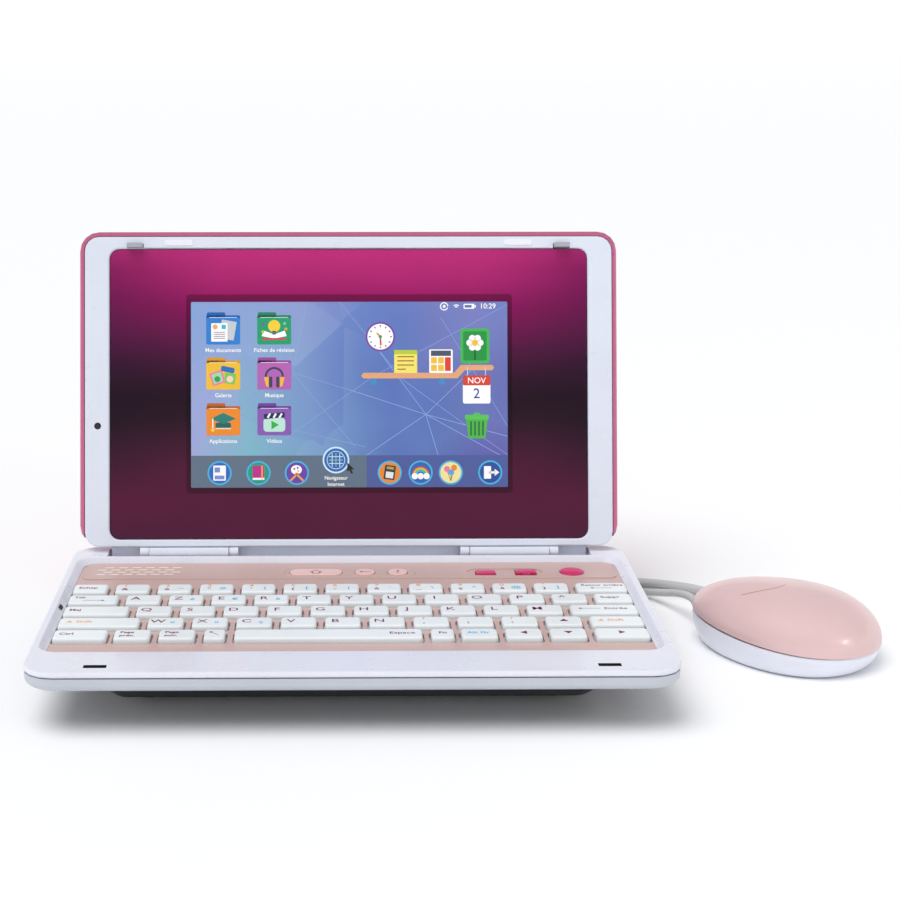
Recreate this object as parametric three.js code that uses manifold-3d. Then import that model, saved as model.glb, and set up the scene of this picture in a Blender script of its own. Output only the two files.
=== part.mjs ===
// Toy laptop computer with a wired mouse, in millimetres: X right, Y away from the user, Z up.
// Every separate piece is one closed mesh. "Case" coordinates measure x from the middle of the
// laptop, t back from its front edge and z up from the floor; "lid" coordinates measure x, then u
// up the lid from the hinge axis, then n out of the screen side.
import * as THREE from 'three';
import { mergeVertices } from 'three/addons/utils/BufferGeometryUtils.js';
import Module from 'manifold-3d';

const wasm = await Module();
wasm.setup();

// ---- whole object -----------------------------------------------------------------------------
const ORIGIN_X = -51.82; // middle of the laptop, from the middle of the whole object
const ORIGIN_Y = -102.03; // front edge of the laptop, from the middle of the whole object
const GAP = 0.3; // clearance between neighbouring pieces

// ---- base -------------------------------------------------------------------------------------
const FOOT_H = 2;
const FOOT_R = 6;
const TOP_Z = 27; // rim of the base
const PART_Z = 24.4; // parting line between the two case halves
const CASE_W = 263;
const CASE_D = 165.2;
const CASE_R = 13;
const SKIN = 1.4; // case wall
// Underside of the case: how far in from the edge, at what height. The rear wall stays upright.
const HULL = [
  [37, FOOT_H], [33, 3.2], [26, 10.4], [12, 14.8], [5.5, 17.2], [2.4, 18.7], [1.2, 19.6], [0.4, 21],
  [0.2, PART_Z - GAP],
];
const REAR_INSET = 0.12; // share of the inset that the rear wall takes
const FEET = { front: 46, rear: 148, side: 84 };

const OPENING = { side: 128, front: 23.4, rear: 147.3, r: 8 }; // at the rim
const OPENING_FOOT = { side: 125.2, front: 24.8, rear: 146, r: 6.6 }; // down at the deck
const DECK_Z = 24;
const DECK_T = 1.7;

// ---- lid and hinge ----------------------------------------------------------------------------
const AXIS_T = 153.2;
const AXIS_Z = 27.5;
const LEAN = 15.2; // degrees the opened lid leans back from upright
const LID_W = 257;
const LID_H = 153.2;
const LID_BOTTOM = 3.4;
const LID_BACK = -12;
const LID_R = 9.2;
const RIM = 2.4;
const BEZEL_BOTTOM = 2.6;
const BEZEL_T = 2.2;
const WINDOW = { side: 114.4, bottom: 6, top: 145, r: 4.8, recess: 0.6, t: 1.6 };
const LCD = { side: 80, bottom: 25.5, top: 125.5, t: 3.2 };
const TROUGH = { side: 115, front: 4.3, rear: 7.8, depth: 8 };
const KNUCKLE = { inner: 57.5, outer: 95.1, r: 3.4 };
const LUG = { w: 4.2, r: 2.3, stem: 1.6 };
const PIN_R = 1.05;
const BORE_R = 1.35;
const HOOK = { x: 102, u: 146.2, w: 7.4, t: 1.6, reach: 3 };
const BUMPER = { x: 81.2, u: 147.9, w: 13.6, h: 2.8, t: 0.35 };
const LENS = { x: -120, u: 60.3, r: 1.35, t: 1.1 };

// ---- keyboard ---------------------------------------------------------------------------------
const KEY = { pitchX: 18.85, w: 15.2, d: 11.2, top: TOP_Z - 0.8, edge: 124.5 };
const ROW_PITCH = 14.75;
const ROW_BACK = 110.4; // rear edge of the rearmost row
const FLANGE_TOP = DECK_Z - DECK_T - GAP;
const FLANGE_T = 1.1;
const HOLE_MARGIN = 0.75; // deck hole beyond the key top, each side
const FLANGE_MARGIN = 1.15;
const PLUNGER = { w: 4, d: 4, z: 20.2 };
// Each row, rear to front: where the character keys start, how many there are, and single keys.
const PAGE_KEYS = [[-99.2, -84], [-80.5, -65.3], [-61.7, -52.8]];
const FN_KEYS = [[33.2, 42.9], [45.8, 61]];
const ROWS = [
  { name: 'keys_number_row', start: -105.5, count: 11,
    singles: [['key_escape', -124.5, -109.1], ['key_backspace', 101.85, 124.5]] },
  { name: 'keys_upper_row', start: -99.2, count: 11,
    singles: [['key_tab', -124.5, -102.7], ['key_delete', 108.15, 124.5]] },
  { name: 'keys_home_row', start: -93, count: 10,
    singles: [['key_caps', -124.5, -96.4], ['key_enter', 95.5, 124.5]] },
  { name: 'keys_lower_row', start: -86.6, count: 9,
    singles: [['key_shift_left', -124.5, -90.2], ['key_up', 83.05, 98.25],
      ['key_shift_right', 101.9, 124.5]] },
  { groups: [['keys_page', PAGE_KEYS], ['keys_fn', FN_KEYS]],
    singles: [['key_control', -124.5, -102.1], ['key_space', -49, 29.6], ['key_left', 64.4, 79.6],
      ['key_down', 83.05, 98.25], ['key_right', 101.9, 124.5]] },
];

// ---- function strip behind the keys -----------------------------------------------------------
const STRIP_T = 131; // middle of the strip
const BUTTON_RISE = 0.9; // above the deck
// Name, middle, width, depth, corner radius and colour.
const BUTTONS = [
  ['button_home', -15.7, 24.2, 8.8, 4.2, 'pill'],
  ['button_back', 7.1, 9, 8.8, 4.2, 'pill'],
  ['button_help', 22.3, 9, 8.8, 4.2, 'pill'],
  ['button_volume_down', 63.2, 9, 7.6, 3.6, 'magenta'],
  ['button_volume_up', 82, 9.4, 7.6, 3.6, 'magenta'],
  ['button_power', 103.4, 11, 11, 5.4, 'magenta'],
];
const GRILLE = { x: -98.4, t: 134.5, w: 38, d: 13, rows: 4, columns: 6, slit: 4.4, slitD: 0.9 };

// ---- inside the base --------------------------------------------------------------------------
const FLOOR_Z = FOOT_H + SKIN;
const MEMBRANE = { side: 119, front: 36, rear: 112, z: 18.1, t: 0.5 };
const BOARD = { side: 84, front: 60, rear: 140, z: 14, t: 1.6 };
const BATTERY = { x: 0, t: 84, w: 76, d: 48, z: 4.6, h: 8.6, hatchW: 84, hatchD: 56 };
const SPEAKER = { x: -98.4, r: 12, z: 15.5, h: 6 };
const SOCKET = { x: 85, z: 14, w: 15, h: 8.2, d: 14 };
const POSTS = { r: 3.2, at: [[88, 27.5, 12, 21.8], [102, 150, 7.4, 17.8]] }; // x, t, bottom, top

// ---- mouse and lead ---------------------------------------------------------------------------
const MOUSE = { x: 193.6, t: 92.4, heading: 54, halfL: 42.7, halfW: 33, h: 30.7, partZ: 11.8, partSlope: 0.055 };
const MOUSE_SIDES = 28;
const MOUSE_TAPER = 0.004; // how much narrower the egg outline gets, for each mm towards the nose
const SHELL_T = 2;
const CLICK_GAP = 1.2; // extra room under the nose of the shell, which rocks down there when pressed
const CREASE = { from: -16, to: 8, y: 1, bend: 0.053, w: 1, depth: 0.8 }; // across the top of the shell
const CORD_R = 1.8;
const CORD_STEPS = 80;
const PLUG = { w: 16, h: 8, length: 17, tongue: 11, tongueW: 12, tongueH: 4.5 };
// The lead leaves the nose of the mouse, runs behind the base, is folded back once behind the
// mouse, and comes forward again to the socket: three runs lie together behind the rear corner.
const LIE = CORD_R + 0.1; // height of a run that lies on the floor
const STACK = 5.6; // height of the run that lies in the groove between the other two
const CORD_PATH = [
  [160.8, 126.4, 11.4], [159.6, 131.4, 11.6], [156.2, 141.6, 10], [151.2, 153, 6.4], [144, 164.6, 2.9],
  [133, 170.4, LIE], [112, 172, LIE], [66, 172, LIE], [34, 170.6, LIE], [18, 169.8, LIE], [7.5, 173.4, LIE],
  [3.6, 182.6, LIE], [8, 191.6, LIE], [19, 194.4, LIE], [30, 190.6, 2.6], [42, 182.6, 4.2], [54, 176, 5.4],
  [72, 174, STACK], [112, 174, STACK], [127, 174, STACK], [141, 172, 5.7], [156, 167.6, 5.8],
  [169, 162, 5.3], [183, 154.4, 3.2], [198, 150.6, LIE], [210, 155.6, LIE], [213.6, 166.6, LIE],
  [206, 177, LIE], [193, 178.6, LIE], [180, 172.4, LIE], [168, 168, LIE], [156, 171.2, LIE],
  [141, 175.6, LIE], [126, 177, LIE], [88, 177, LIE], [67, 180.4, LIE], [56.4, 191, LIE],
  [60, 204, 3.6], [73, 209.6, 8.6], [82.6, 203.4, 12.8], [SOCKET.x, 189.6, SOCKET.z],
];
const RELIEF = { r: 3, tip: 2.3, length: 8, heading: 14 };

// Colour, roughness and metalness.
const COLOURS = {
  white: [0xe9e9f3, 0.42, 0],
  lower: [0xc8ccd4, 0.5, 0],
  deck: [0xd8c0bc, 0.5, 0],
  key: [0xe6ecee, 0.45, 0],
  pink: [0xc8708f, 0.25, 0.25],
  bezel: [0xdde2ee, 0.4, 0],
  window: [0x5a1038, 0.08, 0],
  lcd: [0x3a4a8c, 0.3, 0],
  magenta: [0xd8266a, 0.35, 0],
  pill: [0xf0c8c4, 0.4, 0],
  grey: [0x9a9aa2, 0.5, 0],
  rubber: [0x3a3a40, 0.9, 0],
  steel: [0xb8bcc2, 0.3, 1],
  board: [0x2f6b45, 0.6, 0],
  battery: [0x4a4e58, 0.5, 0],
  membrane: [0xd8d8dc, 0.7, 0],
  lens: [0x101018, 0.1, 0],
  pearl: [0xe6c8c8, 0.28, 0.1],
  mouseBase: [0xe8eaf6, 0.4, 0],
  cord: [0xbebebe, 0.6, 0],
};

// ---- groups -----------------------------------------------------------------------------------
const toy = new THREE.Group();
toy.name = 'toy_laptop';

const base = new THREE.Group(); // case coordinates
base.position.set(ORIGIN_X, ORIGIN_Y, 0);
toy.add(base);

const lid = new THREE.Group(); // lid coordinates, opened
lid.position.set(0, AXIS_T, AXIS_Z);
lid.rotation.x = THREE.MathUtils.degToRad(90 - LEAN);
base.add(lid);

const mouse = new THREE.Group(); // x to its right, y to its nose, z up from the floor
mouse.position.set(MOUSE.x, MOUSE.t, 0);
mouse.rotation.z = THREE.MathUtils.degToRad(MOUSE.heading);
base.add(mouse);

function addPiece(group, name, geometry, colour) {
  const [hex, roughness, metalness] = COLOURS[colour];
  const material = new THREE.MeshStandardMaterial({ color: hex, roughness, metalness });
  const mesh = new THREE.Mesh(geometry, material);
  mesh.name = name;
  group.add(mesh);
}

// ---- outlines, lofts and booleans -------------------------------------------------------------
// Points round a rounded rectangle, anticlockwise seen from +second axis cross.
function roundedRect(x0, x1, y0, y1, radius, seg = 4) {
  const r = Math.max(0.05, Math.min(radius, (x1 - x0) / 2 - 0.01, (y1 - y0) / 2 - 0.01));
  const corners = [[x1 - r, y0 + r, -90], [x1 - r, y1 - r, 0], [x0 + r, y1 - r, 90], [x0 + r, y0 + r, 180]];
  return corners.flatMap(([cx, cy, start]) => Array.from({ length: seg + 1 }, (_, i) => {
    const a = THREE.MathUtils.degToRad(start + (90 * i) / seg);
    return [cx + r * Math.cos(a), cy + r * Math.sin(a)];
  }));
}

// Joins rings of equal length. Open: first and last ring get flat caps. Closed: last joins first.
function loft(rings, closed = false) {
  const n = rings[0].length;
  const positions = rings.flat(2);
  const index = [];
  const bands = closed ? rings.length : rings.length - 1;
  for (let k = 0; k < bands; k += 1) {
    const a = k * n;
    const b = ((k + 1) % rings.length) * n;
    for (let i = 0; i < n; i += 1) {
      const j = (i + 1) % n;
      index.push(a + i, a + j, b + j, a + i, b + j, b + i);
    }
  }
  if (!closed) {
    const last = (rings.length - 1) * n;
    for (let i = 1; i < n - 1; i += 1) {
      index.push(0, i + 1, i, last, last + i, last + i + 1);
    }
  }
  const geometry = new THREE.BufferGeometry();
  geometry.setAttribute('position', new THREE.Float32BufferAttribute(positions, 3));
  geometry.setIndex(index);
  return geometry;
}

// A rounded-rectangle ring at height z, pulled in by inset from the rectangle {x0,x1,y0,y1,r}.
function ring(rect, inset, z, seg = 4) {
  const { x0, x1, y0, y1, r } = rect;
  const outline = roundedRect(x0 + inset, x1 - inset, y0 + inset, y1 - inset, r - inset, seg);
  return outline.map(([x, y]) => [x, y, z]);
}

function toSolid(geometry) {
  const bare = geometry.clone();
  bare.deleteAttribute('normal');
  bare.deleteAttribute('uv');
  const merged = mergeVertices(bare, 1e-4);
  return new wasm.Manifold(new wasm.Mesh({
    numProp: 3,
    vertProperties: new Float32Array(merged.getAttribute('position').array),
    triVerts: new Uint32Array(merged.index.array),
  }));
}

function toGeometry(solid) {
  const mesh = solid.getMesh();
  const geometry = new THREE.BufferGeometry();
  geometry.setAttribute('position', new THREE.Float32BufferAttribute(mesh.vertProperties, 3));
  geometry.setIndex(Array.from(mesh.triVerts));
  return geometry;
}

function join(solids) {
  return wasm.Manifold.union(solids);
}

function box(x0, x1, y0, y1, z0, z1) {
  const shape = new THREE.BoxGeometry(x1 - x0, y1 - y0, z1 - z0);
  return toSolid(shape.translate((x0 + x1) / 2, (y0 + y1) / 2, (z0 + z1) / 2));
}

// An upright cylinder on the point (x, y).
function cylinder(r, z0, z1, x, y, sides = 24) {
  const shape = new THREE.CylinderGeometry(r, r, z1 - z0, sides).rotateX(Math.PI / 2);
  return toSolid(shape.translate(x, y, (z0 + z1) / 2));
}

// A cylinder along X about the line through (y, z).
function rod(r, x0, x1, y, z, sides = 24) {
  const shape = new THREE.CylinderGeometry(r, r, x1 - x0, sides).rotateZ(Math.PI / 2);
  return toSolid(shape.translate((x0 + x1) / 2, y, z));
}

// A prism along X with the given (y, z) outline.
function prismX(outline, x0, x1) {
  const shape = new THREE.Shape(outline.map(([y, z]) => new THREE.Vector2(y, z)));
  const along = new THREE.Vector3(1, 0, 0);
  const basis = new THREE.Matrix4().makeBasis(new THREE.Vector3(0, 1, 0), new THREE.Vector3(0, 0, 1), along);
  const prism = new THREE.ExtrudeGeometry(shape, { depth: x1 - x0, bevelEnabled: false });
  return toSolid(prism.applyMatrix4(basis).translate(x0, 0, 0));
}

const caseRect = { x0: -CASE_W / 2, x1: CASE_W / 2, y0: 0, y1: CASE_D, r: CASE_R };
const lidRect = { x0: -LID_W / 2, x1: LID_W / 2, y0: LID_BOTTOM, y1: LID_H, r: LID_R };

// ---- base case --------------------------------------------------------------------------------
function socketOpening() {
  const { x, z } = SOCKET;
  const w = SOCKET.w / 2 + GAP;
  const h = SOCKET.h / 2 + GAP;
  return box(x - w, x + w, CASE_D - 8, CASE_D + 1, z - h, z + h);
}

function lowerCase() {
  const hullRing = (inset, z) => {
    const rear = inset * REAR_INSET;
    return ring({ ...caseRect, y1: CASE_D + inset - rear, r: Math.max(CASE_R, inset + 6) }, inset, z);
  };
  const outer = HULL.map(([inset, z]) => hullRing(inset, z));
  const inner = [...HULL].reverse().map(
    ([inset, z]) => hullRing(inset + SKIN, Math.min(z + SKIN, PART_Z - GAP)));
  const tub = toSolid(loft([...outer, ...inner]));
  const { x, t: middle, hatchW, hatchD } = BATTERY;
  const hatch = box(x - hatchW / 2, x + hatchW / 2, middle - hatchD / 2, middle + hatchD / 2, 0, FLOOR_Z + 1);
  const posts = [-1, 1].flatMap((side) => POSTS.at.map(
    ([px, pt, z0, z1]) => cylinder(POSTS.r, z0, z1, side * px, pt, 12)));
  return toGeometry(tub.subtract(hatch).subtract(socketOpening()).add(join(posts)));
}

function troughOutline(grow) {
  const { front, rear, depth } = TROUGH;
  const low = AXIS_Z - depth - grow;
  const outline = [
    [-front - grow, 40], [-front - grow, AXIS_Z - 2.6], [-2.4 - grow / 2, AXIS_Z - 4.9 - grow / 2],
    [0, low], [4.6, low], [rear + grow, AXIS_Z - 4.4], [rear + grow, 40],
  ];
  return outline.map(([y, z]) => [AXIS_T + y, z]);
}

function hingeLug(x0, x1) {
  const stem = box(x0, x1, AXIS_T - LUG.stem, AXIS_T + LUG.stem, AXIS_Z - TROUGH.depth - 0.5, AXIS_Z);
  return rod(LUG.r, x0, x1, AXIS_T, AXIS_Z).add(stem);
}

function upperCase() {
  const [opening, low] = [OPENING, OPENING_FOOT].map(
    ({ side, front, rear, r }) => ({ x0: -side, x1: side, y0: front, y1: rear, r }));
  const foot = DECK_Z + 0.15;
  const frame = toSolid(loft([
    ring(caseRect, 0.4, PART_Z + 0.2), ring(caseRect, 0, PART_Z + 0.8), ring(caseRect, 0, TOP_Z - 1),
    ring(caseRect, 0.4, TOP_Z - 0.3), ring(caseRect, 1.3, TOP_Z), ring(opening, -0.5, TOP_Z),
    ring(opening, 0, TOP_Z - 0.3), ring(low, 0, foot), ring(opening, -0.6, foot),
    ring(opening, -1.6, PART_Z + 0.2),
  ], true));
  const trim = box(-CASE_W, CASE_W, 0, CASE_D, TOP_Z - 0.6, 60);
  const trough = prismX(troughOutline(1.4), -TROUGH.side - 1.6, TROUGH.side + 1.6).subtract(trim);
  const hollow = prismX(troughOutline(0), -TROUGH.side, TROUGH.side);
  const slots = [-1, 1].map((side) => {
    const t0 = AXIS_T - HOOK.u;
    return box(side * HOOK.x - 4.6, side * HOOK.x + 4.6, t0 - 1.7, t0 + 1.7, 20, 40);
  });
  const lugs = [-1, 1].flatMap((side) => [KNUCKLE.inner - GAP - LUG.w, KNUCKLE.outer + GAP].map((x) => (
    side > 0 ? hingeLug(x, x + LUG.w) : hingeLug(-x - LUG.w, -x))));
  const bore = rod(BORE_R, -120, 120, AXIS_T, AXIS_Z, 12);
  const shaped = frame.add(trough).subtract(hollow).subtract(join(slots));
  return toGeometry(shaped.add(join(lugs).subtract(bore)));
}

function batteryCover() {
  const { x, t, hatchW, hatchD } = BATTERY;
  const rect = { x0: x - hatchW / 2, x1: x + hatchW / 2, y0: t - hatchD / 2, y1: t + hatchD / 2, r: 1.5 };
  return loft([ring(rect, GAP + 0.3, FOOT_H), ring(rect, GAP, FOOT_H + 0.3), ring(rect, GAP, FLOOR_Z)]);
}

function foot(x, t) {
  return toGeometry(cylinder(FOOT_R, 0, FOOT_H, x, t, 16));
}

// ---- keyboard ---------------------------------------------------------------------------------
const rowBack = (row) => ROW_BACK - row * ROW_PITCH;

function keyRect(x0, x1, row) {
  return { x0, x1, y0: rowBack(row) - KEY.d, y1: rowBack(row), r: 2 };
}

function keyCap(rect, low = FLANGE_TOP - FLANGE_T) {
  return loft([ring(rect, -0.35, low, 1), ring(rect, -0.35, KEY.top - 1, 1), ring(rect, 0.25, KEY.top, 1)]);
}

function plunger(x, t) {
  const { w, d, z } = PLUNGER;
  return box(x - w / 2, x + w / 2, t - d / 2, t + d / 2, z, FLANGE_TOP - 0.1);
}

function flange(rect) {
  const heights = [FLANGE_TOP - FLANGE_T, FLANGE_TOP];
  return toSolid(loft(heights.map((z) => ring(rect, -FLANGE_MARGIN, z, 1))));
}

// One moving piece with one or more caps standing on a shared plate below the deck.
function keyGroup(spans, row) {
  const whole = keyRect(spans[0][0], spans[spans.length - 1][1], row);
  const caps = spans.map(([x0, x1]) => toSolid(keyCap(keyRect(x0, x1, row))));
  const middle = (whole.x0 + whole.x1) / 2;
  const stem = plunger(middle, rowBack(row) - KEY.d / 2);
  return toGeometry(join([flange(whole), ...caps, stem]));
}

function rowSpans(row) {
  return Array.from({ length: row.count }, (_, i) => {
    const x0 = row.start + i * KEY.pitchX;
    return [x0, x0 + KEY.w];
  });
}

function allGroups() {
  return ROWS.flatMap((row, i) => [
    ...row.singles.map(([name, x0, x1]) => ({ name, row: i, spans: [[x0, x1]] })),
    ...(row.count ? [{ name: row.name, row: i, spans: rowSpans(row) }] : []),
    ...(row.groups ?? []).map(([name, spans]) => ({ name, row: i, spans })),
  ]);
}

function button(x, w, d, r) {
  const rect = { x0: x - w / 2, x1: x + w / 2, y0: STRIP_T - d / 2, y1: STRIP_T + d / 2, r };
  const top = DECK_Z + BUTTON_RISE;
  const steps = [
    [1.2, PLUNGER.z], [1.2, FLANGE_TOP - FLANGE_T], [-0.9, FLANGE_TOP - FLANGE_T], [-0.9, FLANGE_TOP],
    [0.2, FLANGE_TOP], [0, top - 0.5], [0.6, top],
  ];
  return loft(steps.map(([inset, z]) => ring(rect, inset, z, 3)));
}

function grilleSlits() {
  const { x, t, w, d, rows, columns, slit, slitD } = GRILLE;
  return Array.from({ length: rows * columns }, (_, i) => {
    const row = Math.floor(i / columns);
    const shift = row % 2 ? 0.5 : 0;
    const cx = x - w / 2 + ((i % columns) + 0.25 + shift) * (w / columns);
    const cy = t - d / 2 + (row + 0.5) * (d / rows);
    return roundedRect(cx - slit / 2, cx + slit / 2, cy - slitD / 2, cy + slitD / 2, 0.3, 1);
  });
}

function deck() {
  const side = OPENING.side - 0.2;
  const outline = roundedRect(-side, side, OPENING.front - 0.8, OPENING.rear - 0.2, OPENING.r);
  const keyHoles = allGroups().flatMap(({ spans, row }) => spans.map(([x0, x1]) => {
    const { y0, y1 } = keyRect(x0, x1, row);
    return roundedRect(x0 - HOLE_MARGIN, x1 + HOLE_MARGIN, y0 - HOLE_MARGIN, y1 + HOLE_MARGIN, 2, 1);
  }));
  const buttonHoles = BUTTONS.map(([, x, w, d, r]) => roundedRect(x - w / 2 - GAP, x + w / 2 + GAP,
    STRIP_T - d / 2 - GAP, STRIP_T + d / 2 + GAP, r + GAP, 3));
  const shape = new THREE.Shape(outline.map(([x, y]) => new THREE.Vector2(x, y)));
  shape.holes = [...keyHoles, ...buttonHoles, ...grilleSlits()].map(
    (hole) => new THREE.Path(hole.map(([x, y]) => new THREE.Vector2(x, y))));
  const plate = new THREE.ExtrudeGeometry(shape, { depth: DECK_T, bevelEnabled: false });
  return plate.translate(0, 0, DECK_Z - DECK_T);
}

// ---- inside the base --------------------------------------------------------------------------
function slab({ side, front, rear, z, t }) {
  return toGeometry(box(-side, side, front, rear, z, z + t));
}

function batteryPack() {
  const { x, t, w, d, z, h } = BATTERY;
  const rect = { x0: x - w / 2, x1: x + w / 2, y0: t - d / 2, y1: t + d / 2, r: 6 };
  return loft([ring(rect, 1.5, z), ring(rect, 0, z + 2), ring(rect, 0, z + h - 2), ring(rect, 1.5, z + h)]);
}

function speaker() {
  const { x, r, z, h } = SPEAKER;
  const magnet = cylinder(r * 0.6, z, z + h * 0.6, x, GRILLE.t, 20);
  return toGeometry(magnet.add(cylinder(r, z + h * 0.5, z + h, x, GRILLE.t, 24)));
}

function usbSocket() {
  const { x, z, w, h, d } = SOCKET;
  const shell = box(x - w / 2, x + w / 2, CASE_D - 2.6 - d, CASE_D - 2.6, z - h / 2, z + h / 2);
  const { tongueW, tongueH, tongue } = PLUG;
  const mouth = box(x - tongueW / 2 - GAP, x + tongueW / 2 + GAP, CASE_D - 3 - tongue, CASE_D,
    z - tongueH / 2 - GAP, z + tongueH / 2 + GAP);
  return toGeometry(shell.subtract(mouth));
}

// ---- lid --------------------------------------------------------------------------------------
function lidShell() {
  const inner = { ...lidRect, y0: LID_BOTTOM + 5.4 };
  const tray = toSolid(loft([
    ring(lidRect, 3.4, LID_BACK), ring(lidRect, 1, LID_BACK + 1.2), ring(lidRect, 0, LID_BACK + 3.6),
    ring(lidRect, 0, -1.6), ring(lidRect, 0.7, -0.7),
    ring(inner, RIM - GAP, -0.7), ring(inner, RIM - GAP, -9.9),
  ]));
  const seat = LID_W / 2 - RIM + GAP;
  const bezelSeat = box(-seat, seat, -5, LID_BOTTOM + 17, -BEZEL_T - GAP - 1.6, 5);
  const heel = [
    [LID_BOTTOM - 1, LID_BACK - 1], [LID_BOTTOM + 6, LID_BACK - 1], [LID_BOTTOM + 6, LID_BACK],
    [LID_BOTTOM, -6.4], [LID_BOTTOM - 1, -6.4],
  ];
  const chamfer = prismX(heel, -LID_W, LID_W);
  const curtain = box(-TROUGH.side + 1, TROUGH.side - 1, -2.4, LID_BOTTOM + 2, -7, -5.3);
  const leafNotches = [-1, 1].map((side) => {
    const middle = (side * (KNUCKLE.inner + KNUCKLE.outer)) / 2;
    return box(middle - 17, middle + 17, -5, LID_BOTTOM + 9, -5, 0);
  });
  const shaped = tray.subtract(bezelSeat).subtract(chamfer).add(curtain);
  return toGeometry(shaped.subtract(join(leafNotches)));
}

function bezel() {
  const half = LID_W / 2 - RIM;
  const outer = { x0: -half, x1: half, y0: BEZEL_BOTTOM, y1: LID_H - RIM, r: LID_R - RIM };
  const hole = { x0: -WINDOW.side, x1: WINDOW.side, y0: WINDOW.bottom, y1: WINDOW.top, r: WINDOW.r };
  const seat = -WINDOW.recess - WINDOW.t - GAP;
  const frame = toSolid(loft([
    ring(outer, 0, seat - 1.2), ring(outer, 0, -0.5), ring(outer, 0.5, 0), ring(hole, -0.6, 0),
    ring(hole, 0, -WINDOW.recess), ring(hole, 0, seat), ring(hole, 1.6, seat), ring(hole, 1.6, seat - 1.2),
  ], true));
  const hookSlots = [-1, 1].map((side) => {
    const x = side * HOOK.x;
    return box(x - 4, x + 4, HOOK.u - 1.1, HOOK.u + 1.1, -6, 2);
  });
  const lensHole = cylinder(LENS.r + GAP, -6, 2, LENS.x, LENS.u, 16);
  const leafRelief = [-1, 1].map((side) => {
    const middle = (side * (KNUCKLE.inner + KNUCKLE.outer)) / 2;
    return box(middle - 17, middle + 17, -1, 20, -6, -2.25);
  });
  return toGeometry(frame.subtract(join([...hookSlots, lensHole, ...leafRelief])));
}

function windowPane() {
  const rect = { x0: -WINDOW.side, x1: WINDOW.side, y0: WINDOW.bottom, y1: WINDOW.top, r: WINDOW.r };
  const front = -WINDOW.recess;
  const steps = [[GAP, front - WINDOW.t], [GAP, front - 0.2], [GAP + 0.2, front]];
  return loft(steps.map(([inset, n]) => ring(rect, inset, n)));
}

function lcdPanel() {
  const rect = { x0: -LCD.side, x1: LCD.side, y0: LCD.bottom, y1: LCD.top, r: 1 };
  const front = -WINDOW.recess - WINDOW.t - GAP;
  return loft([ring(rect, 0, front - LCD.t, 1), ring(rect, 0, front, 1)]);
}

function latchHook(side) {
  const { x, u, w, t, reach } = HOOK;
  const outline = [
    [u - t / 2, -2], [u + t / 2, -2], [u + t / 2, reach - 1.2], [u + t, reach - 0.8],
    [u + t / 2, reach], [u - t / 2, reach],
  ];
  return toGeometry(prismX(outline, side * x - w / 2, side * x + w / 2));
}

function bumper(side) {
  const { x, u, w, h, t } = BUMPER;
  const rect = { x0: side * x - w / 2, x1: side * x + w / 2, y0: u - h / 2, y1: u + h / 2, r: 1.1 };
  return loft([ring(rect, 0, 0), ring(rect, 0, t - 0.1), ring(rect, 0.3, t)]);
}

// Hinge barrel with the flat leaf that carries it inside the lid.
function knuckle(side) {
  const x0 = side > 0 ? KNUCKLE.inner : -KNUCKLE.outer;
  const x1 = side > 0 ? KNUCKLE.outer : -KNUCKLE.inner;
  const clip = box(x0 - 1, x1 + 1, BEZEL_BOTTOM - GAP, 10, -2.55, 10);
  const barrel = rod(KNUCKLE.r, x0, x1, 0, 0).subtract(clip);
  const leaf = box(x0 + 2.6, x1 - 2.6, -1, 15, -4.5, -2.6);
  const bore = rod(BORE_R, x0 - 1, x1 + 1, 0, 0, 12);
  return toGeometry(barrel.add(leaf).subtract(bore));
}

function hingePin(side) {
  const inner = KNUCKLE.inner - GAP - LUG.w + 0.3;
  const outer = KNUCKLE.outer + GAP + LUG.w - 0.3;
  const x0 = side > 0 ? inner : -outer;
  return toGeometry(rod(PIN_R, x0, x0 + outer - inner, AXIS_T, AXIS_Z, 12));
}

function lens() {
  return toGeometry(cylinder(LENS.r, -LENS.t - 0.1, -0.1, LENS.x, LENS.u, 16));
}

// ---- mouse ------------------------------------------------------------------------------------
// Egg outline, narrower at the nose (+y), scaled, at a fixed height or at lift(y).
function eggRing(scale, lift) {
  return Array.from({ length: MOUSE_SIDES }, (_, i) => {
    const a = (2 * Math.PI * i) / MOUSE_SIDES;
    const y = MOUSE.halfL * Math.sin(a);
    const x = MOUSE.halfW * Math.cos(a) * (1 - MOUSE_TAPER * y);
    return [x * scale, y * scale, typeof lift === 'number' ? lift : lift(y * scale)];
  });
}

const parting = (offset) => (y) => MOUSE.partZ + MOUSE.partSlope * y + offset;

const rimLift = (y) => parting(GAP + (CLICK_GAP * (1 + y / MOUSE.halfL)) / 2)(y);

// Dome rings from the parting plane up, pulled in by inset mm.
function domeRings(inset, steps) {
  const height = MOUSE.h - MOUSE.partZ - inset;
  return Array.from({ length: steps }, (_, i) => {
    const rise = Math.sin((Math.PI / 2) * (i / steps));
    const scale = (1 - inset / MOUSE.halfW) * Math.cos((Math.PI / 2) * (i / steps)) ** 0.85;
    const slope = 1 - rise;
    return eggRing(scale, (y) => slope * rimLift(y) + rise * (MOUSE.partZ + height));
  });
}

// Curved strip that marks out the crease between the palm rest and the buttons.
function creaseStrip() {
  const { from, to, y, bend, w } = CREASE;
  const xs = Array.from({ length: 7 }, (_, i) => from + ((to - from) * i) / 6);
  const edge = (side) => xs.map((x) => new THREE.Vector2(x, y + bend * x * x + (side * w) / 2));
  const shape = new THREE.Shape([...edge(-1), ...edge(1).reverse()]);
  const strip = new THREE.ExtrudeGeometry(shape, { depth: 20, bevelEnabled: false });
  return toSolid(strip.translate(0, 0, MOUSE.h - 14));
}

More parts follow.
